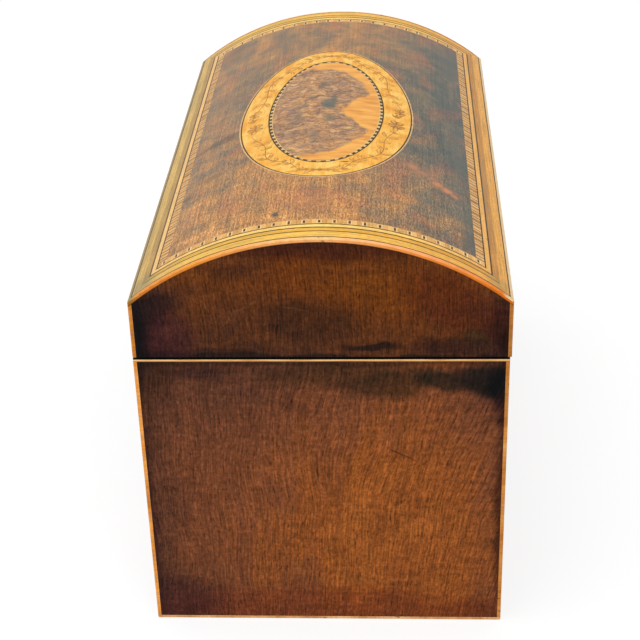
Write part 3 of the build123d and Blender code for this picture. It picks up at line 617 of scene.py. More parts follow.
for side, centre_x in (("left", -knob_x), ("right", knob_x)):
    lathe = bmesh.new()
    rings = []
    for radius, height in knob_profile:
        at = Vector((centre_x, 0.0, knob_base_z + height))
        if radius == 0.0:
            rings.append([lathe.verts.new(at * MM)] * knob_turns)
            continue
        rings.append([])
        for turn in range(knob_turns):
            swing = turn * math.tau / knob_turns
            outward = Vector((math.cos(swing), math.sin(swing), 0.0))
            rings[-1].append(lathe.verts.new((at + outward * radius) * MM))
    for lower, painted_lit_upper_face in zip(rings, rings[1:]):
        for turn in range(knob_turns):
            beyond = (turn + 1) % knob_turns
            corners = (lower[turn], lower[beyond], painted_lit_upper_face[beyond], painted_lit_upper_face[turn])
            lathe.faces.new(list(dict.fromkeys(corners)))
    bmesh.ops.recalc_face_normals(lathe, faces=lathe.faces)
    knob_mesh = bpy.data.meshes.new(f"{side}_turned_knob")
    lathe.to_mesh(knob_mesh)
    lathe.free()
    knob_mesh.shade_smooth()
    knob = link_piece(f"{side}_turned_knob", knob_mesh, f"{side}_lid", turned_bone)
    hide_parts(f"{side}_knob")


# Lid lining: a sheet of laid paper pasted inside the dome, gone buff, with foxing.
lining_paper, tree, shader, place = new_finish(
    "pasted_laid_paper", {"Roughness": 0.9, "Specular IOR Level": 0.15}
)
browned = mottle(tree, place, (35, 35, 35), 4.0)
foxing = mottle(tree, place, (4, 4, 4), 2.0)
laid_lines = mottle(tree, place, (60, 1.0, 1.0), 1.0)
sheet_tone = add(
    tree, "ShaderNodeValToRGB", {"Fac": browned}, [(0.3, "#A8936A"), (0.55, "#C4B289"), (0.75, "#D2C39E")]
)
fox_marks = add(tree, "ShaderNodeValToRGB", {"Fac": foxing}, [(0.66, 0.0), (0.76, 0.7)])
add(
    tree, "ShaderNodeMix", {"Factor": fox_marks, "A": sheet_tone, "B": "#8A6238"},
    into=shader.inputs["Base Color"], data_type="RGBA",
)
add(
    tree, "ShaderNodeBump", {"Height": laid_lines, "Strength": 0.3, "Distance": 0.1 * MM},
    into=shader.inputs["Normal"],
)
put_on(lining_paper, "lid_lining")


# Border of the dome: strips laid in from the arris, mitred at the corners and polished flush: ebonised
# line, satinwood banding, ebonised line, holly string, ebonised line, then the ladder banding.
dome_radius = 89.906
dome_y = -0.25
dome_z = 52.294
dome_half_arc = 62.72
lid_half_x = 105.0


def over_dome(tree, place):
    """Sockets in metres: along the lid, round the dome from its crown, how far in from the arris and along
    the strip; and 1 over the strips of the two ends, 0 over those of the long sides."""
    axes = add(tree, "ShaderNodeSeparateXYZ", {"Vector": place})
    side = add(tree, "ShaderNodeMath", {0: axes.outputs["Y"], 1: dome_y * MM}, operation="SUBTRACT")
    rise = add(tree, "ShaderNodeMath", {0: axes.outputs["Z"], 1: dome_z * MM}, operation="SUBTRACT")
    turn = add(tree, "ShaderNodeMath", {0: side, 1: rise}, operation="ARCTAN2")
    round_it = add(tree, "ShaderNodeMath", {0: turn, 1: dome_radius * MM}, operation="MULTIPLY")
    size_x = add(tree, "ShaderNodeMath", {0: axes.outputs["X"]}, operation="ABSOLUTE")
    size_round = add(tree, "ShaderNodeMath", {0: round_it}, operation="ABSOLUTE")
    from_end = add(tree, "ShaderNodeMath", {0: lid_half_x * MM, 1: size_x}, operation="SUBTRACT")
    from_side = add(tree, "ShaderNodeMath", {0: dome_half_arc * MM, 1: size_round}, operation="SUBTRACT")
    inset = add(tree, "ShaderNodeMath", {0: from_end, 1: from_side}, operation="MINIMUM")
    on_end = add(tree, "ShaderNodeMath", {0: from_end, 1: from_side}, operation="LESS_THAN")
    strip = add(
        tree, "ShaderNodeMix", {"Factor": on_end, "A": axes.outputs["X"], "B": round_it}, data_type="FLOAT"
    )
    return axes.outputs["X"], round_it, inset, strip, on_end


def from_back(tree, round_it):
    """0 at the back edge of the dome, 1 at its front edge."""
    return add(
        tree, "ShaderNodeMapRange",
        {"Value": round_it, "From Min": dome_half_arc * MM, "From Max": -dome_half_arc * MM},
    )


top_gloss = {"Roughness": 0.36, "Specular IOR Level": 0.11}
border_gloss = {"Roughness": 0.36, "Specular IOR Level": 0.06}
shade_places = (0.0, 0.16, 0.5, 0.84, 1.0)
stripes_reach = 10 * MM


def inlaid_strip(name, shades, levels, bands=(), smudges=()):
    """Straight-grained wood, polished: its grain runs along each strip and turns at the mitres, and fine
    lines darken and lighten it by levels. shades go over the dome, from the back edge to the front. bands
    are the stripes of dirt across the strip, first over the long sides and then over the ends."""
    material, tree, shader, place = new_finish(name, border_gloss)
    along, round_it, inset, strip, on_end = over_dome(tree, place)
    frontward = from_back(tree, round_it)
    tone = add(tree, "ShaderNodeValToRGB", {"Fac": frontward}, list(zip(shade_places, shades)))
    unrolled = add(tree, "ShaderNodeCombineXYZ", {"X": strip, "Y": inset, "Z": 0.0})
    grain = mottle(tree, unrolled, (16, 0.5, 1), 3.0, 0.2)
    patches = mottle(tree, unrolled, (12, 5, 1), 3.0)
    specks = mottle(tree, unrolled, (2.2, 0.5, 1), 1.0)
    ticks = mottle(tree, unrolled, (1.6, 0.7, 1), 2.0)
    tone = toned(
        tree, tone, (grain, (0.33, 0.67), levels), (ticks, (0.3, 0.7), (0.88, 1.12)),
        (patches, (0.3, 0.7), (0.9, 1.07)),
    )
    if bands:
        reach = {"Value": inset, "From Min": 0.0, "From Max": stripes_reach}
        reach = add(tree, "ShaderNodeMapRange", reach)
        over_sides = add(tree, "ShaderNodeValToRGB", {"Fac": reach}, bands[0])
        over_ends = add(tree, "ShaderNodeValToRGB", {"Fac": reach}, bands[1])
        stripes = add(
            tree, "ShaderNodeMix", {"Factor": on_end, "A": over_sides, "B": over_ends}, data_type="RGBA"
        )
        tone = add(
            tree, "ShaderNodeMix", {"Factor": 1.0, "A": tone, "B": stripes}, data_type="RGBA",
            blend_type="MULTIPLY",
        )
    if smudges:
        unrolled = add(tree, "ShaderNodeCombineXYZ", {"X": along, "Y": round_it, "Z": 0.0})
        tone = smudged(tree, tone, unrolled, smudges)
    grained(tree, shader, tone, [(specks, (0.24, 0.34), (0.6, 1.0))], grain, 0.12, 0.05)
    return material


# Stripes at shares of their reach from the arris: dirt in the joints, a duller inner half along the sides,
# and over the ends a fine dark line that the banding was sawn with.
joint_dirt = "#7E5C1E"
side_stripes = [
    (0.16, joint_dirt), (0.175, "#FFFFFF"), (0.47, "#FFFFFF"), (0.53, "#DCD4D6"), (0.74, "#D6D0D6"),
    (0.76, joint_dirt),
]
end_stripes = [
    (0.16, joint_dirt), (0.175, "#FFFFFF"), (0.49, "#FFFFFF"), (0.505, "#644A18"), (0.54, "#644A18"),
    (0.555, "#F8F0DE"), (0.74, "#F4E8D4"), (0.76, joint_dirt),
]
string_joints = [(0.8, joint_dirt), (0.82, "#FFFFFF"), (0.97, "#FFFFFF"), (0.99, joint_dirt)]
ebony_line = inlaid_strip(
    "ebonised_line", ("#332A12", "#3A280C", "#4A300A", "#3A260A", "#241A0C"), (0.7, 1.25)
)
satin_banding = inlaid_strip(
    "polished_satinwood_banding", ("#DCB466", "#EEC05C", "#FCC75A", "#F0B450", "#F0AC50"), (0.74, 1.12),
    (side_stripes, end_stripes),
    # The grey-olive marks at the corners and along the long edges paint the hazy sheen of the polish there.
    [
        ((-100, 58), (7, 7), 40, "#7E7A56", 0.55), ((-62, 60.6), (36, 2.2), 0, "#A2864A", 0.42),
        ((60, 60), (24, 2.4), 0, "#8E8048", 0.3), ((-100, -57), (6, 6), 0, "#94804E", 0.45),
        ((-40, -56), (40, 2.2), 0, "#A0825A", 0.35),
    ],
)
pale_string = inlaid_strip(
    "polished_holly_string", ("#F6C07C", "#FACE78", "#FFDC7C", "#F8C266", "#EEAA58"), (0.9, 1.04),
    (string_joints, string_joints),
)
put_on(ebony_line, "lid_dark_lines", "patera_dark_lines")
put_on(satin_banding, "lid_satinwood_banding")
put_on(pale_string, "lid_pale_strings")

# Boxwood at the arris, scraped: peach and orange on its upper face and deep orange on its outer face, the
# upper face painted lit and the outer painted in shade, with a painted highlight at the crown; dirt lies
# along its lower edge.
arris_dirt_from = dome_radius - 1.12
arris_dirt_to = dome_radius - 1.0
arris_boxwood, tree, shader, place = new_finish("scraped_boxwood_arris", border_gloss)
_, round_it, _, _, _ = over_dome(tree, place)
frontward = from_back(tree, round_it)
painted_lit_upper_face = add(
    tree, "ShaderNodeValToRGB", {"Fac": frontward},
    [
        (0.01, "#A68A54"), (0.03, "#E8964A"), (0.2, "#FBA64A"), (0.5, "#FFC888"), (0.75, "#F8A468"),
        (0.9, "#EE8A3C"), (0.965, "#E67C20"), (0.985, "#E8C896"),
    ],
)
painted_shaded_outer_face = add(
    tree, "ShaderNodeValToRGB", {"Fac": frontward},
    [
        (0.01, "#A8702C"), (0.06, "#D87A2A"), (0.2, "#E88C36"), (0.5, "#F6AC68"), (0.75, "#F08C36"),
        (0.97, "#D86E18"),
    ],
)
# Faces that point up take the lit ramp and the others take the shaded one: painted light and shade.
facing = add(tree, "ShaderNodeSeparateXYZ", {"Vector": place.node.outputs["Normal"]}).outputs["Z"]
facing = add(tree, "ShaderNodeMath", {0: facing, 1: 0.3}, operation="GREATER_THAN")
tone = add(tree, "ShaderNodeMix", {"Factor": facing, "A": painted_shaded_outer_face, "B": painted_lit_upper_face}, data_type="RGBA")
grain = mottle(tree, place, (2.5, 2.5, 2.5), 3.0, 0.6)
nicks = mottle(tree, place, (3.2, 3.2, 3.2), 1.0)
from_axis = {0: place, 1: (0.0, dome_y * MM, dome_z * MM)}
from_axis = add(tree, "ShaderNodeVectorMath", from_axis, operation="SUBTRACT")
from_axis = add(tree, "ShaderNodeVectorMath", {0: from_axis, 1: (0.0, 1.0, 1.0)}, operation="MULTIPLY")
from_axis = add(tree, "ShaderNodeVectorMath", {0: from_axis}, operation="LENGTH")
toned(
    tree, tone, (grain, (0.33, 0.67), (0.92, 1.08)), (nicks, (0.22, 0.27), (0.4, 1.0)),
    (from_axis, (arris_dirt_from * MM, arris_dirt_to * MM), (0.25, 1.0)), into=shader.inputs["Base Color"],
)
put_on(arris_boxwood, "lid_arris_strings")


# Ladder banding: end-grain blocks glued up in packs, sawn into strips 3 mm wide and laid inside the
# strings: a black block between two white ones, then light brown ones, 4.6 mm from one black to the next.
# Along the sides a second, thinner black block parts the brown ones.
ladder_width = 3.0
ladder_from = 10.3
ladder_inset = ladder_from + ladder_width / 2
ladder_sunk = 0.01
ladder_line_steps = 240
veneer_deep = 1.15
block_gap = 0.05


def inlay_block(name, shades):
    """Polished end grain; its own tone for each block, from light to dark."""
    material, tree, shader, place = new_finish(name, border_gloss)
    own = add(tree, "ShaderNodeAttribute", attribute_name="tone").outputs["Fac"]
    speckle = mottle(tree, place, (0.7, 0.7, 0.7), 2.0)
    both = add(tree, "ShaderNodeMath", {0: own, 1: 0.6, 2: speckle}, operation="MULTIPLY_ADD")
    add(
        tree, "ShaderNodeValToRGB", {"Fac": both}, [(0.45, shades[0]), (1.0, shades[1])],
        into=shader.inputs["Base Color"],
    )
    return material


white_block = inlay_block("polished_holly_block", ("#DDB070", "#F8D294"))
black_block = inlay_block("ebonised_block", ("#2C2014", "#5E4426"))
brown_block = inlay_block("polished_tulipwood_block", ("#B47C40", "#E8AC62"))
satin_block = inlay_block("polished_satinwood_block", ("#C4904E", "#F2BC70"))


def inlay_tree(name, blocks):
    """Sets blocks of veneer side by side along each line, square to it and flush with the dome. blocks are
    (material, middle, length, side, width): shares of the pitch along the line and of the width across."""
    tree = bpy.data.node_groups.new(name, "GeometryNodeTree")
    sockets = tree.interface
    sockets.new_socket("Line", in_out="INPUT", socket_type="NodeSocketGeometry")
    sockets.new_socket("Count", in_out="INPUT", socket_type="NodeSocketInt")
    for size in ("Pitch", "Gap", "Width", "Thickness"):
        sockets.new_socket(size, in_out="INPUT", socket_type="NodeSocketFloat")
    sockets.new_socket("Seed", in_out="INPUT", socket_type="NodeSocketInt")
    sockets.new_socket("Inlay", in_out="OUTPUT", socket_type="NodeSocketGeometry")
    given = add(tree, "NodeGroupInput").outputs
    line = add(tree, "GeometryNodeMeshToCurve", {"Mesh": given["Line"]})
    points = add(tree, "GeometryNodeCurveToPoints", {"Curve": line, "Count": given["Count"]}, mode="COUNT")
    along = add(
        tree, "FunctionNodeAlignRotationToVector", {"Vector": points.outputs["Tangent"]}, axis="X"
    )
    here = add(tree, "ShaderNodeSeparateXYZ", {"Vector": add(tree, "GeometryNodeInputPosition")})
    side = add(tree, "ShaderNodeMath", {0: here.outputs["Y"], 1: dome_y * MM}, operation="SUBTRACT")
    rise = add(tree, "ShaderNodeMath", {0: here.outputs["Z"], 1: dome_z * MM}, operation="SUBTRACT")
    outward = add(tree, "ShaderNodeCombineXYZ", {"X": 0.0, "Y": side, "Z": rise})
    turned = add(
        tree, "FunctionNodeAlignRotationToVector", {"Rotation": along, "Vector": outward}, axis="Z",
        pivot_axis="X",
    )
    sunk = add(tree, "ShaderNodeMath", {0: given["Thickness"], 1: -0.5}, operation="MULTIPLY")
    together = add(tree, "GeometryNodeJoinGeometry")
    for number, (material, middle, length, side_share, width) in enumerate(blocks):
        long = add(tree, "ShaderNodeMath", {0: given["Pitch"], 1: length}, operation="MULTIPLY")
        long = add(tree, "ShaderNodeMath", {0: long, 1: given["Gap"]}, operation="SUBTRACT")
        wide = add(tree, "ShaderNodeMath", {0: given["Width"], 1: width}, operation="MULTIPLY")
        size = add(tree, "ShaderNodeCombineXYZ", {"X": long, "Y": wide, "Z": given["Thickness"]})
        block = add(tree, "GeometryNodeMeshCube", {"Size": size})
        laid = add(
            tree, "GeometryNodeInstanceOnPoints", {"Points": points, "Instance": block, "Rotation": turned}
        )
        shift = add(tree, "ShaderNodeMath", {0: given["Pitch"], 1: middle}, operation="MULTIPLY")
        aside = add(tree, "ShaderNodeMath", {0: given["Width"], 1: side_share}, operation="MULTIPLY")
        move = add(tree, "ShaderNodeCombineXYZ", {"X": shift, "Y": aside, "Z": sunk})
        laid = add(tree, "GeometryNodeTranslateInstances", {"Instances": laid, "Translation": move})
        seed = add(tree, "ShaderNodeMath", {0: given["Seed"], 1: float(number)}, operation="ADD")
        own = add(tree, "FunctionNodeRandomValue", {"Seed": seed}, data_type="FLOAT")
        laid = add(
            tree, "GeometryNodeStoreNamedAttribute", {"Geometry": laid, "Name": "tone", "Value": own},
            data_type="FLOAT", domain="INSTANCE",
        )
        laid = add(tree, "GeometryNodeRealizeInstances", {"Geometry": laid})
        add(
            tree, "GeometryNodeSetMaterial", {"Geometry": laid, "Material": material},
            into=together.inputs["Geometry"],
        )
    add(tree, "NodeGroupOutput", {"Inlay": together})
    return tree


def on_dome(x, y, sunk=0.0):
    """The point of the dome over (x, y) in plan, sunk so far into it, all in mm; the result is in metres."""
    swing = math.asin((y - dome_y) / dome_radius)
    out = dome_radius - sunk
    return Vector((x, dome_y + out * math.sin(swing), dome_z + out * math.cos(swing))) * MM


def lay_inlay(name, tree, lines, closed, sizes):
    """The inlay that a tree lays along lines of points, as a plain mesh."""
    points = [point for line in lines for point in line]
    edges = []
    for line in lines:
        first = points.index(line[0])
        edges += [(first + at, first + at + 1) for at in range(len(line) - 1)]
        if closed:
            edges.append((first + len(line) - 1, first))
    path = bpy.data.meshes.new(name + " path")
    path.from_pydata(points, edges, [])
    host = bpy.data.objects.new(name + " path", path)
    bpy.context.scene.collection.objects.link(host)
    nodes = host.modifiers.new("inlay", "NODES")
    nodes.node_group = tree
    for item in tree.interface.items_tree:
        if item.in_out == "INPUT" and item.name in sizes:
            nodes[item.identifier] = sizes[item.name]
    bpy.context.view_layer.update()
    mesh = bpy.data.meshes.new_from_object(host.evaluated_get(bpy.context.evaluated_depsgraph_get()))
    mesh.name = name
    bpy.data.objects.remove(host)
    return mesh


side_tree = inlay_tree(
    "ladder banding along the sides",
    [
        (black_block, 0.0, 0.12, 0.0, 1.0), (white_block, -0.12, 0.12, 0.0, 1.0),
        (white_block, 0.12, 0.12, 0.0, 1.0), (brown_block, -0.295, 0.23, 0.0, 1.0),
        (brown_block, 0.34, 0.32, 0.0, 1.0), (black_block, -0.455, 0.09, 0.0, 1.0),
    ],
)
end_tree = inlay_tree(
    "ladder banding across the ends",
    [
        (black_block, 0.0, 0.14, 0.0, 0.56), (satin_block, 0.0, 0.14, -0.39, 0.22),
        (satin_block, 0.0, 0.14, 0.39, 0.22), (white_block, -0.13, 0.12, 0.0, 0.84),
        (white_block, 0.13, 0.12, 0.0, 0.84), (satin_block, -0.13, 0.12, 0.46, 0.08),
        (satin_block, 0.13, 0.12, -0.46, 0.08), (satin_block, -0.13, 0.12, -0.46, 0.08),
        (satin_block, 0.13, 0.12, 0.46, 0.08), (satin_block, -0.345, 0.31, 0.0, 1.0),
        (satin_block, 0.345, 0.31, 0.0, 1.0),
    ],
)
ladder_meshes = []
side_blocks = 40
end_blocks = 23
side_run = 2 * (lid_half_x - ladder_inset - ladder_width / 2)
end_run = 2 * (dome_half_arc - ladder_inset + ladder_width / 2)
for run, count, seed, tree in ((side_run, side_blocks, 3, side_tree), (end_run, end_blocks, 11, end_tree)):
    pitch = run / count
    reach = run / 2 - pitch / 2
    lines = []
    for hand in (-1, 1):
        line = []
        for step in range(ladder_line_steps + 1):
            share = -1 + 2 * step / ladder_line_steps
            if run == side_run:
                swing = hand * (dome_half_arc - ladder_inset) / dome_radius
                x = share * reach
            else:
                swing = share * reach / dome_radius
                x = hand * (lid_half_x - ladder_inset)
            line.append(on_dome(x, dome_y + dome_radius * math.sin(swing), ladder_sunk))
        lines.append(line)
    sizes = {
        "Count": count, "Pitch": pitch * MM, "Gap": block_gap * MM, "Width": ladder_width * MM,
        "Thickness": veneer_deep * MM, "Seed": seed,
    }
    ladder_meshes.append(lay_inlay("ladder_blocks", tree, lines, False, sizes))
ladder_woods = [white_block, black_block, brown_block, satin_block]
both_runs = bmesh.new()
for mesh in ladder_meshes:
    order = [ladder_woods.index(wood) if wood else 0 for wood in mesh.materials]
    for face in mesh.polygons:
        face.material_index = order[face.material_index]
    both_runs.from_mesh(mesh)
ladder_mesh = bpy.data.meshes.new("ladder_blocks")
both_runs.to_mesh(ladder_mesh)
both_runs.free()
for wood in ladder_woods:
    ladder_mesh.materials.append(wood)
ladder = link_piece("ladder_blocks", ladder_mesh, "lid")
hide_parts("lid_ladder_banding")


# Field: one leaf of mahogany bent over the dome with its grain along the lid, French polished.
# Golden cloudy patches towards the back; towards the front and the far end a grey-brown to grey-green tone
# that is painted sheen, the reflection of the pale surround put into the colour; and fine dark streaks and
# pores that show most where the polish has worn, near the left end.
field_half_x = 95 * MM
field_mahogany, tree, shader, place = new_finish("french_polished_mahogany_field", top_gloss)
along, round_it, _, _, _ = over_dome(tree, place)
unrolled = add(tree, "ShaderNodeCombineXYZ", {"X": along, "Y": round_it, "Z": 0.0})
cloud = mottle(tree, unrolled, (34, 20, 1), 4.0, 1.4)
flame = mottle(tree, unrolled, (7, 9, 1), 3.0, 0.8)
grain = mottle(tree, unrolled, (24, 0.8, 1), 3.0, 0.2)
speckle = mottle(tree, unrolled, (2.0, 0.5, 1), 3.0)
pores = mottle(tree, unrolled, (4, 0.4, 1), 1.5)
wood_and_painted_light_by_side = add(
    tree, "ShaderNodeValToRGB", {"Fac": from_back(tree, round_it)},
    [(0.1, 0.44), (0.35, 0.47), (0.55, 0.45), (0.7, 0.28), (0.88, 0.06)],
)
end_to_end = {"Value": along, "From Min": -field_half_x, "From Max": field_half_x}
wood_and_painted_light_by_length = add(
    tree, "ShaderNodeValToRGB", {"Fac": add(tree, "ShaderNodeMapRange", end_to_end)},
    [(0.0, 0.3), (0.32, 0.14), (0.6, 0.06), (1.0, 0.1)],
)
depth = add(tree, "ShaderNodeMath", {0: wood_and_painted_light_by_side, 1: wood_and_painted_light_by_length}, operation="ADD")
depth = add(tree, "ShaderNodeMath", {0: cloud, 1: 0.9, 2: depth}, operation="MULTIPLY_ADD")
depth = add(tree, "ShaderNodeMath", {0: flame, 1: 0.6, 2: depth}, operation="MULTIPLY_ADD")
depth = add(tree, "ShaderNodeMapRange", {"Value": depth, "From Min": 0.85, "From Max": 1.7})
# The grey-green and grey-brown low end of this ramp, which the front and the far end fall in, is painted
# sheen; the browns above it are the wood.
tone = add(
    tree, "ShaderNodeValToRGB", {"Fac": depth},
    [
        (0.0, "#535750"), (0.22, "#706654"), (0.45, "#8F7354"), (0.68, "#B58450"), (0.86, "#CC9052"),
        (1.0, "#E0A462"),
    ],
)
blush = mottle(tree, unrolled, (16, 9, 1), 3.0, 0.6)
blush = add(tree, "ShaderNodeMapRange", {"Value": blush, "From Min": 0.5, "From Max": 0.72, "To Max": 0.45})
tone = add(tree, "ShaderNodeMix", {"Factor": blush, "A": tone, "B": "#B4694A"}, data_type="RGBA")
specks = mottle(tree, unrolled, (0.9, 0.45, 1), 2.0)
# Each kind of mark with its span, its levels and how strong it is at the left end and at the right end.
for marks, span, levels, (left, right) in (
    (grain, (0.35, 0.65), (0.76, 1.16), (1.2, 0.5)), (speckle, (0.33, 0.64), (0.7, 1.26), (1.4, 0.3)),
    (pores, (0.32, 0.44), (0.64, 1.0), (1.0, 0.5)), (specks, (0.3, 0.7), (0.66, 1.32), (1.4, -0.5)),
):
    worn = add(tree, "ShaderNodeMapRange", {**end_to_end, "To Min": left, "To Max": right})
    kept = add(tree, "ShaderNodeMath", {0: worn, 1: 0.0}, operation="MAXIMUM")
    marks = add(tree, "ShaderNodeMath", {0: marks, 1: 0.5}, operation="SUBTRACT")
    marks = add(tree, "ShaderNodeMath", {0: marks, 1: kept, 2: 0.5}, operation="MULTIPLY_ADD")
    tone = toned(tree, tone, (marks, span, levels))
# Dark marks in the wood, and along the front edge grey-green patches of painted sheen.
field_clouds_and_painted_sheen = [
    ((-12.5, 40), (3.2, 12), 14, "#47453A", 0.62), ((-50.5, 46.5), (3.4, 2.6), 0, "#55493A", 0.5),
    ((-43, 39.5), (3.0, 4.5), 20, "#5A4A38", 0.45), ((-14, 31), (5, 6), 0, "#5A5444", 0.4),
    ((-44, -31), (3.6, 8), -19, "#A07456", 0.35), ((-52, -39.5), (4, 8), -8, "#9C6E50", 0.4),
    ((70, -46), (22, 7), 0, "#53584F", 0.6), ((82, 44), (12, 8), 0, "#6E5238", 0.5),
    ((-72, -49), (20, 5), 0, "#565A50", 0.55), ((-78, 3), (12, 14), 0, "#B66F4E", 0.25),
    ((-20, -46), (34, 5), 0, "#585C54", 0.5), ((-86, -49), (12, 4.5), 0, "#43494C", 0.55),
]
tone = smudged(tree, tone, unrolled, field_clouds_and_painted_sheen, wander=8.0)
field_marks = [
    ((-43.2, -28.6), (2.0, 2.6), -30, "#C4825A", 0.6), ((-45.4, -32.0), (1.8, 2.2), -10, "#BC7E58", 0.5),
    ((-50.2, -37.2), (2.2, 2.2), -30, "#D4824E", 0.72), ((-52.6, -40.4), (2.4, 2.4), -12, "#D88854", 0.75),
    ((-54.6, -42.8), (1.4, 1.6), 0, "#D88450", 0.6), ((-47.6, -35.0), (1.4, 1.8), -22, "#B87C58", 0.5),
    ((-86.4, 13.9), (2.0, 1.15), 0, "#464C48", 0.95), ((-71, 4), (0.8, 7), 4, "#D0784E", 0.35),
    ((-74, -2), (0.8, 6), -6, "#D0784E", 0.3), ((-28, 52), (1.2, 2.0), 20, "#4A4232", 0.6),
    ((-56, 44), (1.0, 2.6), 30, "#4C4434", 0.5),
]
smudged(tree, tone, unrolled, field_marks, shader.inputs["Base Color"], 3.0)
add(
    tree, "ShaderNodeBump", {"Height": pores, "Strength": 0.15, "Distance": 0.05 * MM},
    into=shader.inputs["Normal"],
)
put_on(field_mahogany, "lid_field_veneer")


# Oval patera: a ring of satinwood with leaves and flowers let in, a chequered line, and a burr centre.
# Cut with a fretsaw, the leaves shaded in hot sand, glued on paper and laid as one picture.
patera_x = -2.0
patera_y = 1.2
patera_long = 58.75
patera_short = 30.35
ring_from = 0.9
ring_to_long = 11.5
ring_to_short = 10.2
ring_outer = (patera_long - ring_from, patera_short - ring_from)
ring_inner = (patera_long - ring_to_long, patera_short - ring_to_short)
ring_top = 0.02
ring_under = 1.1
oval_turns = 240

# The pale line round it: holly, polished, with no strips to follow.
oval_holly, tree, shader, place = new_finish("polished_holly_oval_line", border_gloss)
speckle = mottle(tree, place, (1.5, 1.5, 1.5), 3.0)
add(
    tree, "ShaderNodeValToRGB", {"Fac": speckle}, [(0.35, "#C9A070"), (0.65, "#E8C48E")],
    into=shader.inputs["Base Color"],
)
put_on(oval_holly, "patera_pale_line")

# Satinwood, polished: warm gold with a faint lengthwise stripe and soft cross figure.
ring_satinwood, tree, shader, place = new_finish("polished_satinwood_ring", border_gloss)
stripe = mottle(tree, place, (30, 1.4, 1.4), 3.0)
figure = mottle(tree, place, (7, 7, 7), 3.0, 0.5)
both = add(tree, "ShaderNodeMath", {0: stripe, 1: 0.5, 2: figure}, operation="MULTIPLY_ADD")
tone = add(
    tree, "ShaderNodeValToRGB", {"Fac": both}, [(0.5, "#E89C36"), (0.7, "#F6B246"), (0.92, "#FFCE6A")]
)
flecks = mottle(tree, place, (2.6, 0.5, 3), 2.0)
tone = toned(tree, tone, (flecks, (0.3, 0.5), (0.84, 1.0)))
flat_place = add(tree, "ShaderNodeVectorMath", {0: place, 1: (1.0, 1.0, 0.0)}, operation="MULTIPLY")
gouge = ((-48.4, -6.6), (0.5, 2.0), 12, "#33200E", 0.9)
smudged(tree, tone, flat_place, [gouge], shader.inputs["Base Color"], 1.0)
ring_points = []
ring_faces = []
ring_loops = [(ring_outer, ring_under), (ring_outer, ring_top)]
for share in (0.25, 0.5, 0.75):
    ring_loops.append((tuple(o + share * (i - o) for o, i in zip(ring_outer, ring_inner)), ring_top))
ring_loops += [(ring_inner, ring_top), (ring_inner, ring_under)]
for (half_long, half_short), sunk in ring_loops:
    for turn in range(oval_turns):
        swing = turn * math.tau / oval_turns
        spot = (patera_x + half_long * math.cos(swing), patera_y + half_short * math.sin(swing))
        ring_points.append(on_dome(*spot, sunk))
for loop in range(len(ring_loops)):
    here = loop * oval_turns
    following = (loop + 1) % len(ring_loops) * oval_turns
    for turn in range(oval_turns):
        beyond = (turn + 1) % oval_turns
        ring_faces.append((here + turn, here + beyond, following + beyond, following + turn))
ring_mesh = mesh_of("satinwood_ring", ring_points, ring_faces)
ring = link_piece("satinwood_ring", ring_mesh, "lid", ring_satinwood)
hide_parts("patera_ring")

# Garland: a wavy stem runs from a small knot at each end of the oval to a flower at each side, with leaves
# in pairs. Points are (plan x, plan y, scorch), scorch being how dark the hot sand has turned the wood.
garland_points = []
garland_faces = []
garland_scorch = []
garland_sunk = 0.006
garland_thick = 0.03 * MM
middle_long = (ring_outer[0] + ring_inner[0]) / 2
middle_short = (ring_outer[1] + ring_inner[1]) / 2


def ring_spot(swing, out=0.0):
    """Plan place on the ring's middle line at an angle, moved outwards, with the directions along the line
    and outwards."""
    along = Vector((-middle_long * math.sin(swing), middle_short * math.cos(swing))).normalized()
    outwards = Vector((along.y, -along.x))
    middle = Vector((patera_x + middle_long * math.cos(swing), patera_y + middle_short * math.sin(swing)))
    return middle + outwards * out, along, outwards


# Outlines are (share of the length, share of the width); toasting is (side, scorch) from edge to edge.
leaf_outline = ((0.0, 0.15), (0.2, 0.75), (0.45, 1.0), (0.72, 0.7), (1.0, 0.06))
petal_outline = ((0.0, 0.2), (0.3, 0.75), (0.6, 1.0), (0.88, 0.75), (1.0, 0.3))
toasting = ((-1, 1.0), (-0.66, 0.4), (0.0, 0.25), (0.6, 0.35), (1, 0.85))


def sliver(start, heading, length, width, scorch, bend=0.15, outline=leaf_outline):
    """A leaf or petal from start, in mm, darkest along its edges and at its foot."""
    heading = heading.normalized()
    aside = Vector((-heading.y, heading.x))
    first = len(garland_points)
    for share, spread in outline:
        rib = start + heading * (length * share) + aside * (length * bend * math.sin(math.pi * share))
        for hand, shade in toasting:
            spot = rib + aside * (hand * spread * width / 2)
            garland_points.append(on_dome(spot.x, spot.y, garland_sunk))
            garland_scorch.append(scorch * shade * (1.15 - 0.5 * share))
    for row in range(len(outline) - 1):
        for column in range(len(toasting) - 1):
            corner = first + row * len(toasting) + column
            above = corner + len(toasting)
            garland_faces.append((corner, corner + 1, above + 1, above))


def stem(path, width, scorch):
    """A thin line inlaid along a path of plan points, thinner to its ends."""
    first = len(garland_points)
    last = len(path) - 1
    for at, spot in enumerate(path):
        heading = (path[min(at + 1, last)] - path[max(at - 1, 0)]).normalized()
        reach = width / 2 * (0.35 + 0.65 * math.sin(math.pi * min(max(at / last, 0.02), 0.98)))
        aside = Vector((-heading.y, heading.x)) * reach
        for edge in (spot + aside, spot - aside):
            garland_points.append(on_dome(edge.x, edge.y, garland_sunk))
            garland_scorch.append(scorch)
    for at in range(last):
        corner = first + at * 2
        garland_faces.append((corner, corner + 1, corner + 3, corner + 2))


drawn_out = 1.8


def blossom(centre, petals, reach, scorch, facing):
    """A flower drawn out along the lid: broad petals with toasted edges round a dark heart."""
    for petal in range(petals):
        swing = facing + petal * math.tau / petals
        heading = Vector((drawn_out * math.cos(swing), math.sin(swing)))
        across = Vector((drawn_out * math.sin(swing), math.cos(swing))).length
        foot = centre + heading * (0.15 * reach)
        sliver(foot, heading, reach * heading.length, 0.85 * reach * across, scorch, 0.0, petal_outline)
    sliver(centre - Vector((1.1, 0.0)), Vector((1, 0)), 2.2, 0.9, 1.4 * scorch, 0.0)


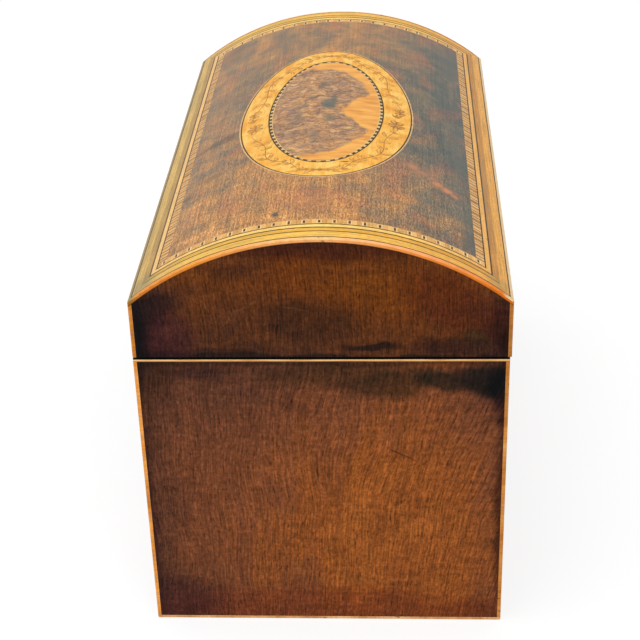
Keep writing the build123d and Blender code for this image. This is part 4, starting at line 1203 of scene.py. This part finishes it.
stem_ends = {-1: math.radians(-93), 1: math.radians(101)}
stem_steps = 60
stem_wave = 1.3
stem_half_waves = 4.5
stem_width = 0.28
stem_scorch = 0.5
leaf_pairs = 11
first_leaf = 3
leaf_apart = 5
leaf_width = 1.6
for hand, stem_end in stem_ends.items():
    for start in (0.0, math.pi * hand):
        path = []
        for step in range(stem_steps + 1):
            share = step / stem_steps
            swing = start + (stem_end - start) * (0.05 + 0.87 * share)
            path.append(ring_spot(swing, stem_wave * math.sin(share * stem_half_waves * math.pi))[0])
        stem(path, stem_width, stem_scorch)
        for leaf in range(leaf_pairs):
            at = first_leaf + leaf * leaf_apart
            heading = (path[at + 1] - path[at - 1]).normalized()
            size = 4.3 + 1.1 * math.sin(leaf * 2.3)
            for lift in (-1, 1):
                turn = lift * math.radians(34 + 12 * math.sin(leaf * 1.7 + lift))
                turned = Matrix.Rotation(turn, 2) @ heading
                shorter, toasted = (1.0, 0.54) if (leaf + lift) % 3 else (0.6, 0.66)
                sliver(path[at], turned, size * shorter, leaf_width, toasted, 0.12 * lift)
for hand, full, scorch in ((1, 101, 0.76), (-1, -100.5, 0.94)):
    blossom(ring_spot(math.radians(full))[0], 5, 2.3, scorch, 0.5)
    blossom(ring_spot(math.radians(full - 14 * hand), 0.9)[0], 4, 1.6, scorch, 0.9)
    calyx = ring_spot(math.radians(full - 7.5 * hand), 0.5)[0]
    for lean in (-0.5, 0.1, 0.7):
        sliver(calyx, Vector((1.0, lean)), 4.0, 0.9, 1.1 * scorch)
for swing in (0.0, math.pi):
    knot, along_ring, outwards = ring_spot(swing, 0.5)
    for heading in (along_ring, -along_ring):
        for spread in (-0.35, 0.0, 0.35):
            sliver(knot, heading + outwards * spread, 7.5 - 6 * abs(spread), 0.8, 0.62, 0.0)
    for heading in (outwards, -outwards, along_ring, -along_ring):
        sliver(knot, heading, 1.5, 1.0, 1.0, 0.0)

flat_garland = bpy.data.meshes.new("garland")
flat_garland.from_pydata(garland_points, [], garland_faces)
scorched = flat_garland.attributes.new("scorch", "FLOAT", "POINT")
scorched.data.foreach_set("value", garland_scorch)
shell = bmesh.new()
shell.from_mesh(flat_garland)
for face in shell.faces:
    if face.normal.z < 0:
        face.normal_flip()
shell.to_mesh(flat_garland)
shell.free()

# Sycamore, sand-shaded and polished: near the ground's gold, toasted brown along edges and stems.
sand_shaded, tree, shader, place = new_finish("sand_shaded_sycamore", border_gloss)
scorch = add(tree, "ShaderNodeAttribute", attribute_name="scorch").outputs["Fac"]
uneven = mottle(tree, place, (1.6, 1.6, 1.6), 2.0)
both = add(tree, "ShaderNodeMath", {0: uneven, 1: 0.7, 2: scorch}, operation="MULTIPLY_ADD")
add(
    tree, "ShaderNodeValToRGB", {"Fac": both},
    [(0.4, "#F4BA56"), (0.56, "#DA9640"), (0.76, "#B07634"), (0.96, "#7C5228")],
    into=shader.inputs["Base Color"],
)
garland = link_piece("garland", flat_garland, "lid", sand_shaded)
thin = garland.modifiers.new("veneer", "SOLIDIFY")
thin.thickness = garland_thick
thin.offset = -1.0

# Chequered line: holly and ebonised blocks 1.5 mm long, glued up alternately and bent round the burr.
pale_block = inlay_block("polished_holly_chequer", ("#CFA666", "#E9C78A"))
chequer_in_long = 12.5
chequer_in_short = 11.2
chequer_long = patera_long - chequer_in_long
chequer_short = patera_short - chequer_in_short
chequer_width = 1.1
chequer_pairs = 69
chequer_steps = 720
chequer_line = []
for turn in range(chequer_steps):
    swing = turn * math.tau / chequer_steps
    spot = (patera_x + chequer_long * math.cos(swing), patera_y + chequer_short * math.sin(swing))
    chequer_line.append(on_dome(*spot, ring_top))
chequer_run = sum((b - a).length for a, b in zip(chequer_line, chequer_line[1:] + chequer_line[:1]))
chequer_tree = inlay_tree(
    "chequered line",
    [
        (black_block, -0.23, 0.54, -0.12, 0.76), (pale_block, 0.27, 0.46, -0.12, 0.76),
        (pale_block, -0.23, 0.54, 0.38, 0.24), (pale_block, 0.27, 0.46, 0.38, 0.24),
    ],
)
sizes = {
    "Count": chequer_pairs, "Pitch": chequer_run / chequer_pairs, "Gap": block_gap * MM,
    "Width": chequer_width * MM, "Thickness": veneer_deep * MM, "Seed": 5,
}
chequer_mesh = lay_inlay("chequer_blocks", chequer_tree, [chequer_line], True, sizes)
chequer = link_piece("chequer_blocks", chequer_mesh, "lid")
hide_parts("patera_chequer")

# Burr centre: burr yew cut across its sapwood: brown waves and small dark eyes over most of the oval,
# golden sapwood along the front with a tongue of it at mid length, and a blue-black knot beside the middle.
burr_long = 45.7
burr_short = 18.6
eyes_apart = 8.0
cracks_apart = 3.6
burr_wood, tree, shader, place = new_finish("polished_burr", top_gloss)
waver = mottle(tree, place, (11, 6, 60), 4.0).outputs["Color"]
waver = add(tree, "ShaderNodeVectorMath", {0: waver, 1: (0.5, 0.5, 0.5)}, operation="SUBTRACT")
waver = add(tree, "ShaderNodeVectorMath", {0: waver, "Scale": 8 * MM}, operation="SCALE")
moved = add(tree, "ShaderNodeVectorMath", {0: place, 1: waver}, operation="ADD")
axes = add(tree, "ShaderNodeSeparateXYZ", {"Vector": moved})
lengthways, crossways = (
    add(
        tree, "ShaderNodeMapRange",
        {
            "Value": axes.outputs[axis], "From Min": (middle - half) * MM, "From Max": (middle + half) * MM,
            "To Min": -1.0, "To Max": 1.0,
        },
        clamp=False,
    )
    for axis, middle, half in (("X", patera_x, burr_long), ("Y", patera_y, burr_short))
)
heart = add(tree, "ShaderNodeCombineXYZ", {"X": lengthways, "Y": crossways, "Z": 0.0})
heart = add(
    tree, "ShaderNodeMapping", {"Vector": heart, "Location": (0.0, 0.3, 0.0), "Scale": (0.87, 1.23, 1.0)},
    vector_type="TEXTURE",
)
heart = add(tree, "ShaderNodeVectorMath", {0: heart}, operation="LENGTH")
outside = add(tree, "ShaderNodeMath", {0: heart, 1: 1.0}, operation="SUBTRACT")
tongue_x = add(tree, "ShaderNodeMath", {0: lengthways, 1: 0.04}, operation="ADD")
tongue_x = add(tree, "ShaderNodeMath", {0: tongue_x}, operation="ABSOLUTE")
tongue_y = add(tree, "ShaderNodeMath", {0: crossways, 1: -0.75, 2: -0.2}, operation="MULTIPLY_ADD")
tongue = add(tree, "ShaderNodeMath", {0: tongue_y, 1: tongue_x}, operation="SUBTRACT")
sap = add(tree, "ShaderNodeMath", {0: outside, 1: tongue}, operation="MAXIMUM")
sapwood = add(tree, "ShaderNodeMapRange", {"Value": sap, "From Min": -0.03, "From Max": 0.03})
swirl = mottle(tree, moved, (3.4, 5, 30), 4.0, 0.8)
ruddy = mottle(tree, moved, (5, 4, 30), 3.0, 0.6)
cross = mottle(tree, moved, (0.9, 2.2, 30), 4.0, 0.4)
eyes = add(tree, "ShaderNodeTexVoronoi", {"Vector": moved, "Scale": 1000 / eyes_apart})
burr_tone = add(
    tree, "ShaderNodeValToRGB", {"Fac": swirl},
    [(0.34, "#8C6E5C"), (0.44, "#A67F5E"), (0.52, "#BB8E64"), (0.6, "#CC9C68"), (0.7, "#DFAA6C")],
)
ruddy = add(tree, "ShaderNodeMapRange", {"Value": ruddy, "From Min": 0.46, "From Max": 0.62, "To Max": 0.55})
burr_tone = add(tree, "ShaderNodeMix", {"Factor": ruddy, "A": burr_tone, "B": "#C4864C"}, data_type="RGBA")
figure = mottle(tree, moved, (4, 9, 30), 4.0, 0.5)
rings = add(tree, "ShaderNodeMath", {0: figure, 1: 0.035}, operation="PINGPONG")
cracks = {"Vector": moved, "Scale": 1000 / cracks_apart}
cracks = add(tree, "ShaderNodeTexVoronoi", cracks, feature="DISTANCE_TO_EDGE")
burr_tone = toned(
    tree, burr_tone, (cross, (0.34, 0.62), (0.68, 1.2)), (rings, (0.0, 0.012), (0.56, 1.04)),
    (cracks, (0.0, 0.1), (0.7, 1.02)), (eyes, (0.04, 0.2), (0.72, 1.0)),
)
flat_place = add(tree, "ShaderNodeVectorMath", {0: place, 1: (1.0, 1.0, 0.0)}, operation="MULTIPLY")
burr_tone = smudged(
    tree, burr_tone, flat_place,
    [
        ((1.5, 0.6), (6.2, 3.4), 0, "#565F56", 0.84), ((6.5, -1.5), (4.0, 1.6), 0, "#565F56", 0.75),
        ((-11.5, 0.0), (4.0, 2.2), 0, "#666A5A", 0.7), ((-26.5, 5.0), (4.5, 2.6), 0, "#6E6856", 0.6),
        ((19.5, 3.8), (4.0, 1.8), 0, "#5C5E4E", 0.65), ((-8.5, 10.5), (3.4, 1.5), 0, "#5E5A4A", 0.55),
        ((-8, 12), (12, 5), 0, "#8A7058", 0.3),
    ],
    wander=4.0,
)
sap_tone = add(
    tree, "ShaderNodeValToRGB", {"Fac": mottle(tree, place, (2.2, 9, 5), 3.0)},
    [(0.32, "#DC9038"), (0.5, "#ECA344"), (0.68, "#F8B656")],
)
add(
    tree, "ShaderNodeMix", {"Factor": sapwood, "A": burr_tone, "B": sap_tone},
    into=shader.inputs["Base Color"], data_type="RGBA",
)
put_on(burr_wood, "patera_centre")


# Floor: a plain pale sheet. For the camera and for gloss it adds light of its own up to white, so only the
# caddy's soft shadow shows on it.
floor_half = 4.0
floor_mesh = mesh_of(
    "floor",
    [(x * floor_half, y * floor_half, -0.1 * MM) for x, y in ((-1, -1), (1, -1), (1, 1), (-1, 1))],
    [(0, 1, 2, 3)],
)
floor = bpy.data.objects.new("floor", floor_mesh)
bpy.context.scene.collection.objects.link(floor)
floor_paper, tree, shader, place = new_finish(
    "pale_paper_floor", {"Base Color": "#E4E4E4", "Roughness": 0.9, "Specular IOR Level": 0.0}
)
floor_mesh.materials.append(floor_paper)


def seen_at_all(tree):
    """1 for rays from the camera, off gloss or through glass, 0 for those that only carry light."""
    path = add(tree, "ShaderNodeLightPath").outputs
    seen = {0: path["Is Camera Ray"], 1: path["Is Glossy Ray"]}
    seen = add(tree, "ShaderNodeMath", seen, operation="MAXIMUM")
    return add(tree, "ShaderNodeMath", {0: seen, 1: path["Is Transmission Ray"]}, operation="MAXIMUM")


own_light = add(tree, "ShaderNodeEmission", {"Color": "#FFFFFF", "Strength": 1.25})
dimmed = add(tree, "ShaderNodeMath", {0: seen_at_all(tree), 1: 0.6}, operation="MULTIPLY")
output = tree.nodes["Material Output"]
add(tree, "ShaderNodeMixShader", {0: dimmed, 1: shader, 2: own_light}, into=output.inputs["Surface"])


# Light: an even pale surround and two large soft lamps, one overhead and one beyond the left end.
world = bpy.data.worlds.new("studio")
bpy.context.scene.world = world
world.use_nodes = True
tree = world.node_tree
surround = tree.nodes["Background"].inputs
add(
    tree, "ShaderNodeMapRange", {"Value": seen_at_all(tree), "To Min": 0.6, "To Max": 1.0},
    into=surround["Strength"],
)
surround["Color"].default_value = linear("#FFFFFF")

# Each lamp's name, its place and side in metres, and its watts; both point at the caddy's middle.
caddy_middle = Vector((0.0, 0.0, 0.07))
lamps = (
    ("overhead lamp", Vector((-0.15, 0.25, 1.1)), 0.9, 4.6),
    ("end lamp", Vector((-1.15, -0.25, 0.75)), 0.7, 4.0),
)
for name, spot, side, watts in lamps:
    lamp_data = bpy.data.lights.new(name, "AREA")
    lamp_data.size = side
    lamp_data.energy = watts
    lamp = bpy.data.objects.new(name, lamp_data)
    lamp.location = spot
    lamp.rotation_mode = "QUATERNION"
    lamp.rotation_quaternion = (caddy_middle - spot).to_track_quat("-Z", "Y")
    bpy.context.scene.collection.objects.link(lamp)


# Camera: off the left end, a little to the front, looking down over the lid.
camera_spot = Vector((-510.89, -23.89, 342.35)) * MM
camera_yaw = math.radians(3.3295)
camera_pitch = math.radians(29.2079)
camera_roll = math.radians(1.7706)
ahead = Vector((math.cos(camera_yaw), math.sin(camera_yaw), 0.0)) * math.cos(camera_pitch)
ahead.z = -math.sin(camera_pitch)
level_right = Vector((math.sin(camera_yaw), -math.cos(camera_yaw), 0.0))
level_down = ahead.cross(level_right)
right = math.cos(camera_roll) * level_right + math.sin(camera_roll) * level_down
down = math.cos(camera_roll) * level_down - math.sin(camera_roll) * level_right
camera_data = bpy.data.cameras.new("camera")
camera_data.sensor_width = 36.0
camera_data.lens = 87.41
camera = bpy.data.objects.new("camera", camera_data)
camera.matrix_world = Matrix.Translation(camera_spot) @ Matrix((right, -down, -ahead)).transposed().to_4x4()
bpy.context.scene.collection.objects.link(camera)
bpy.context.scene.camera = camera
bpy.context.scene.view_settings.view_transform = "Standard"
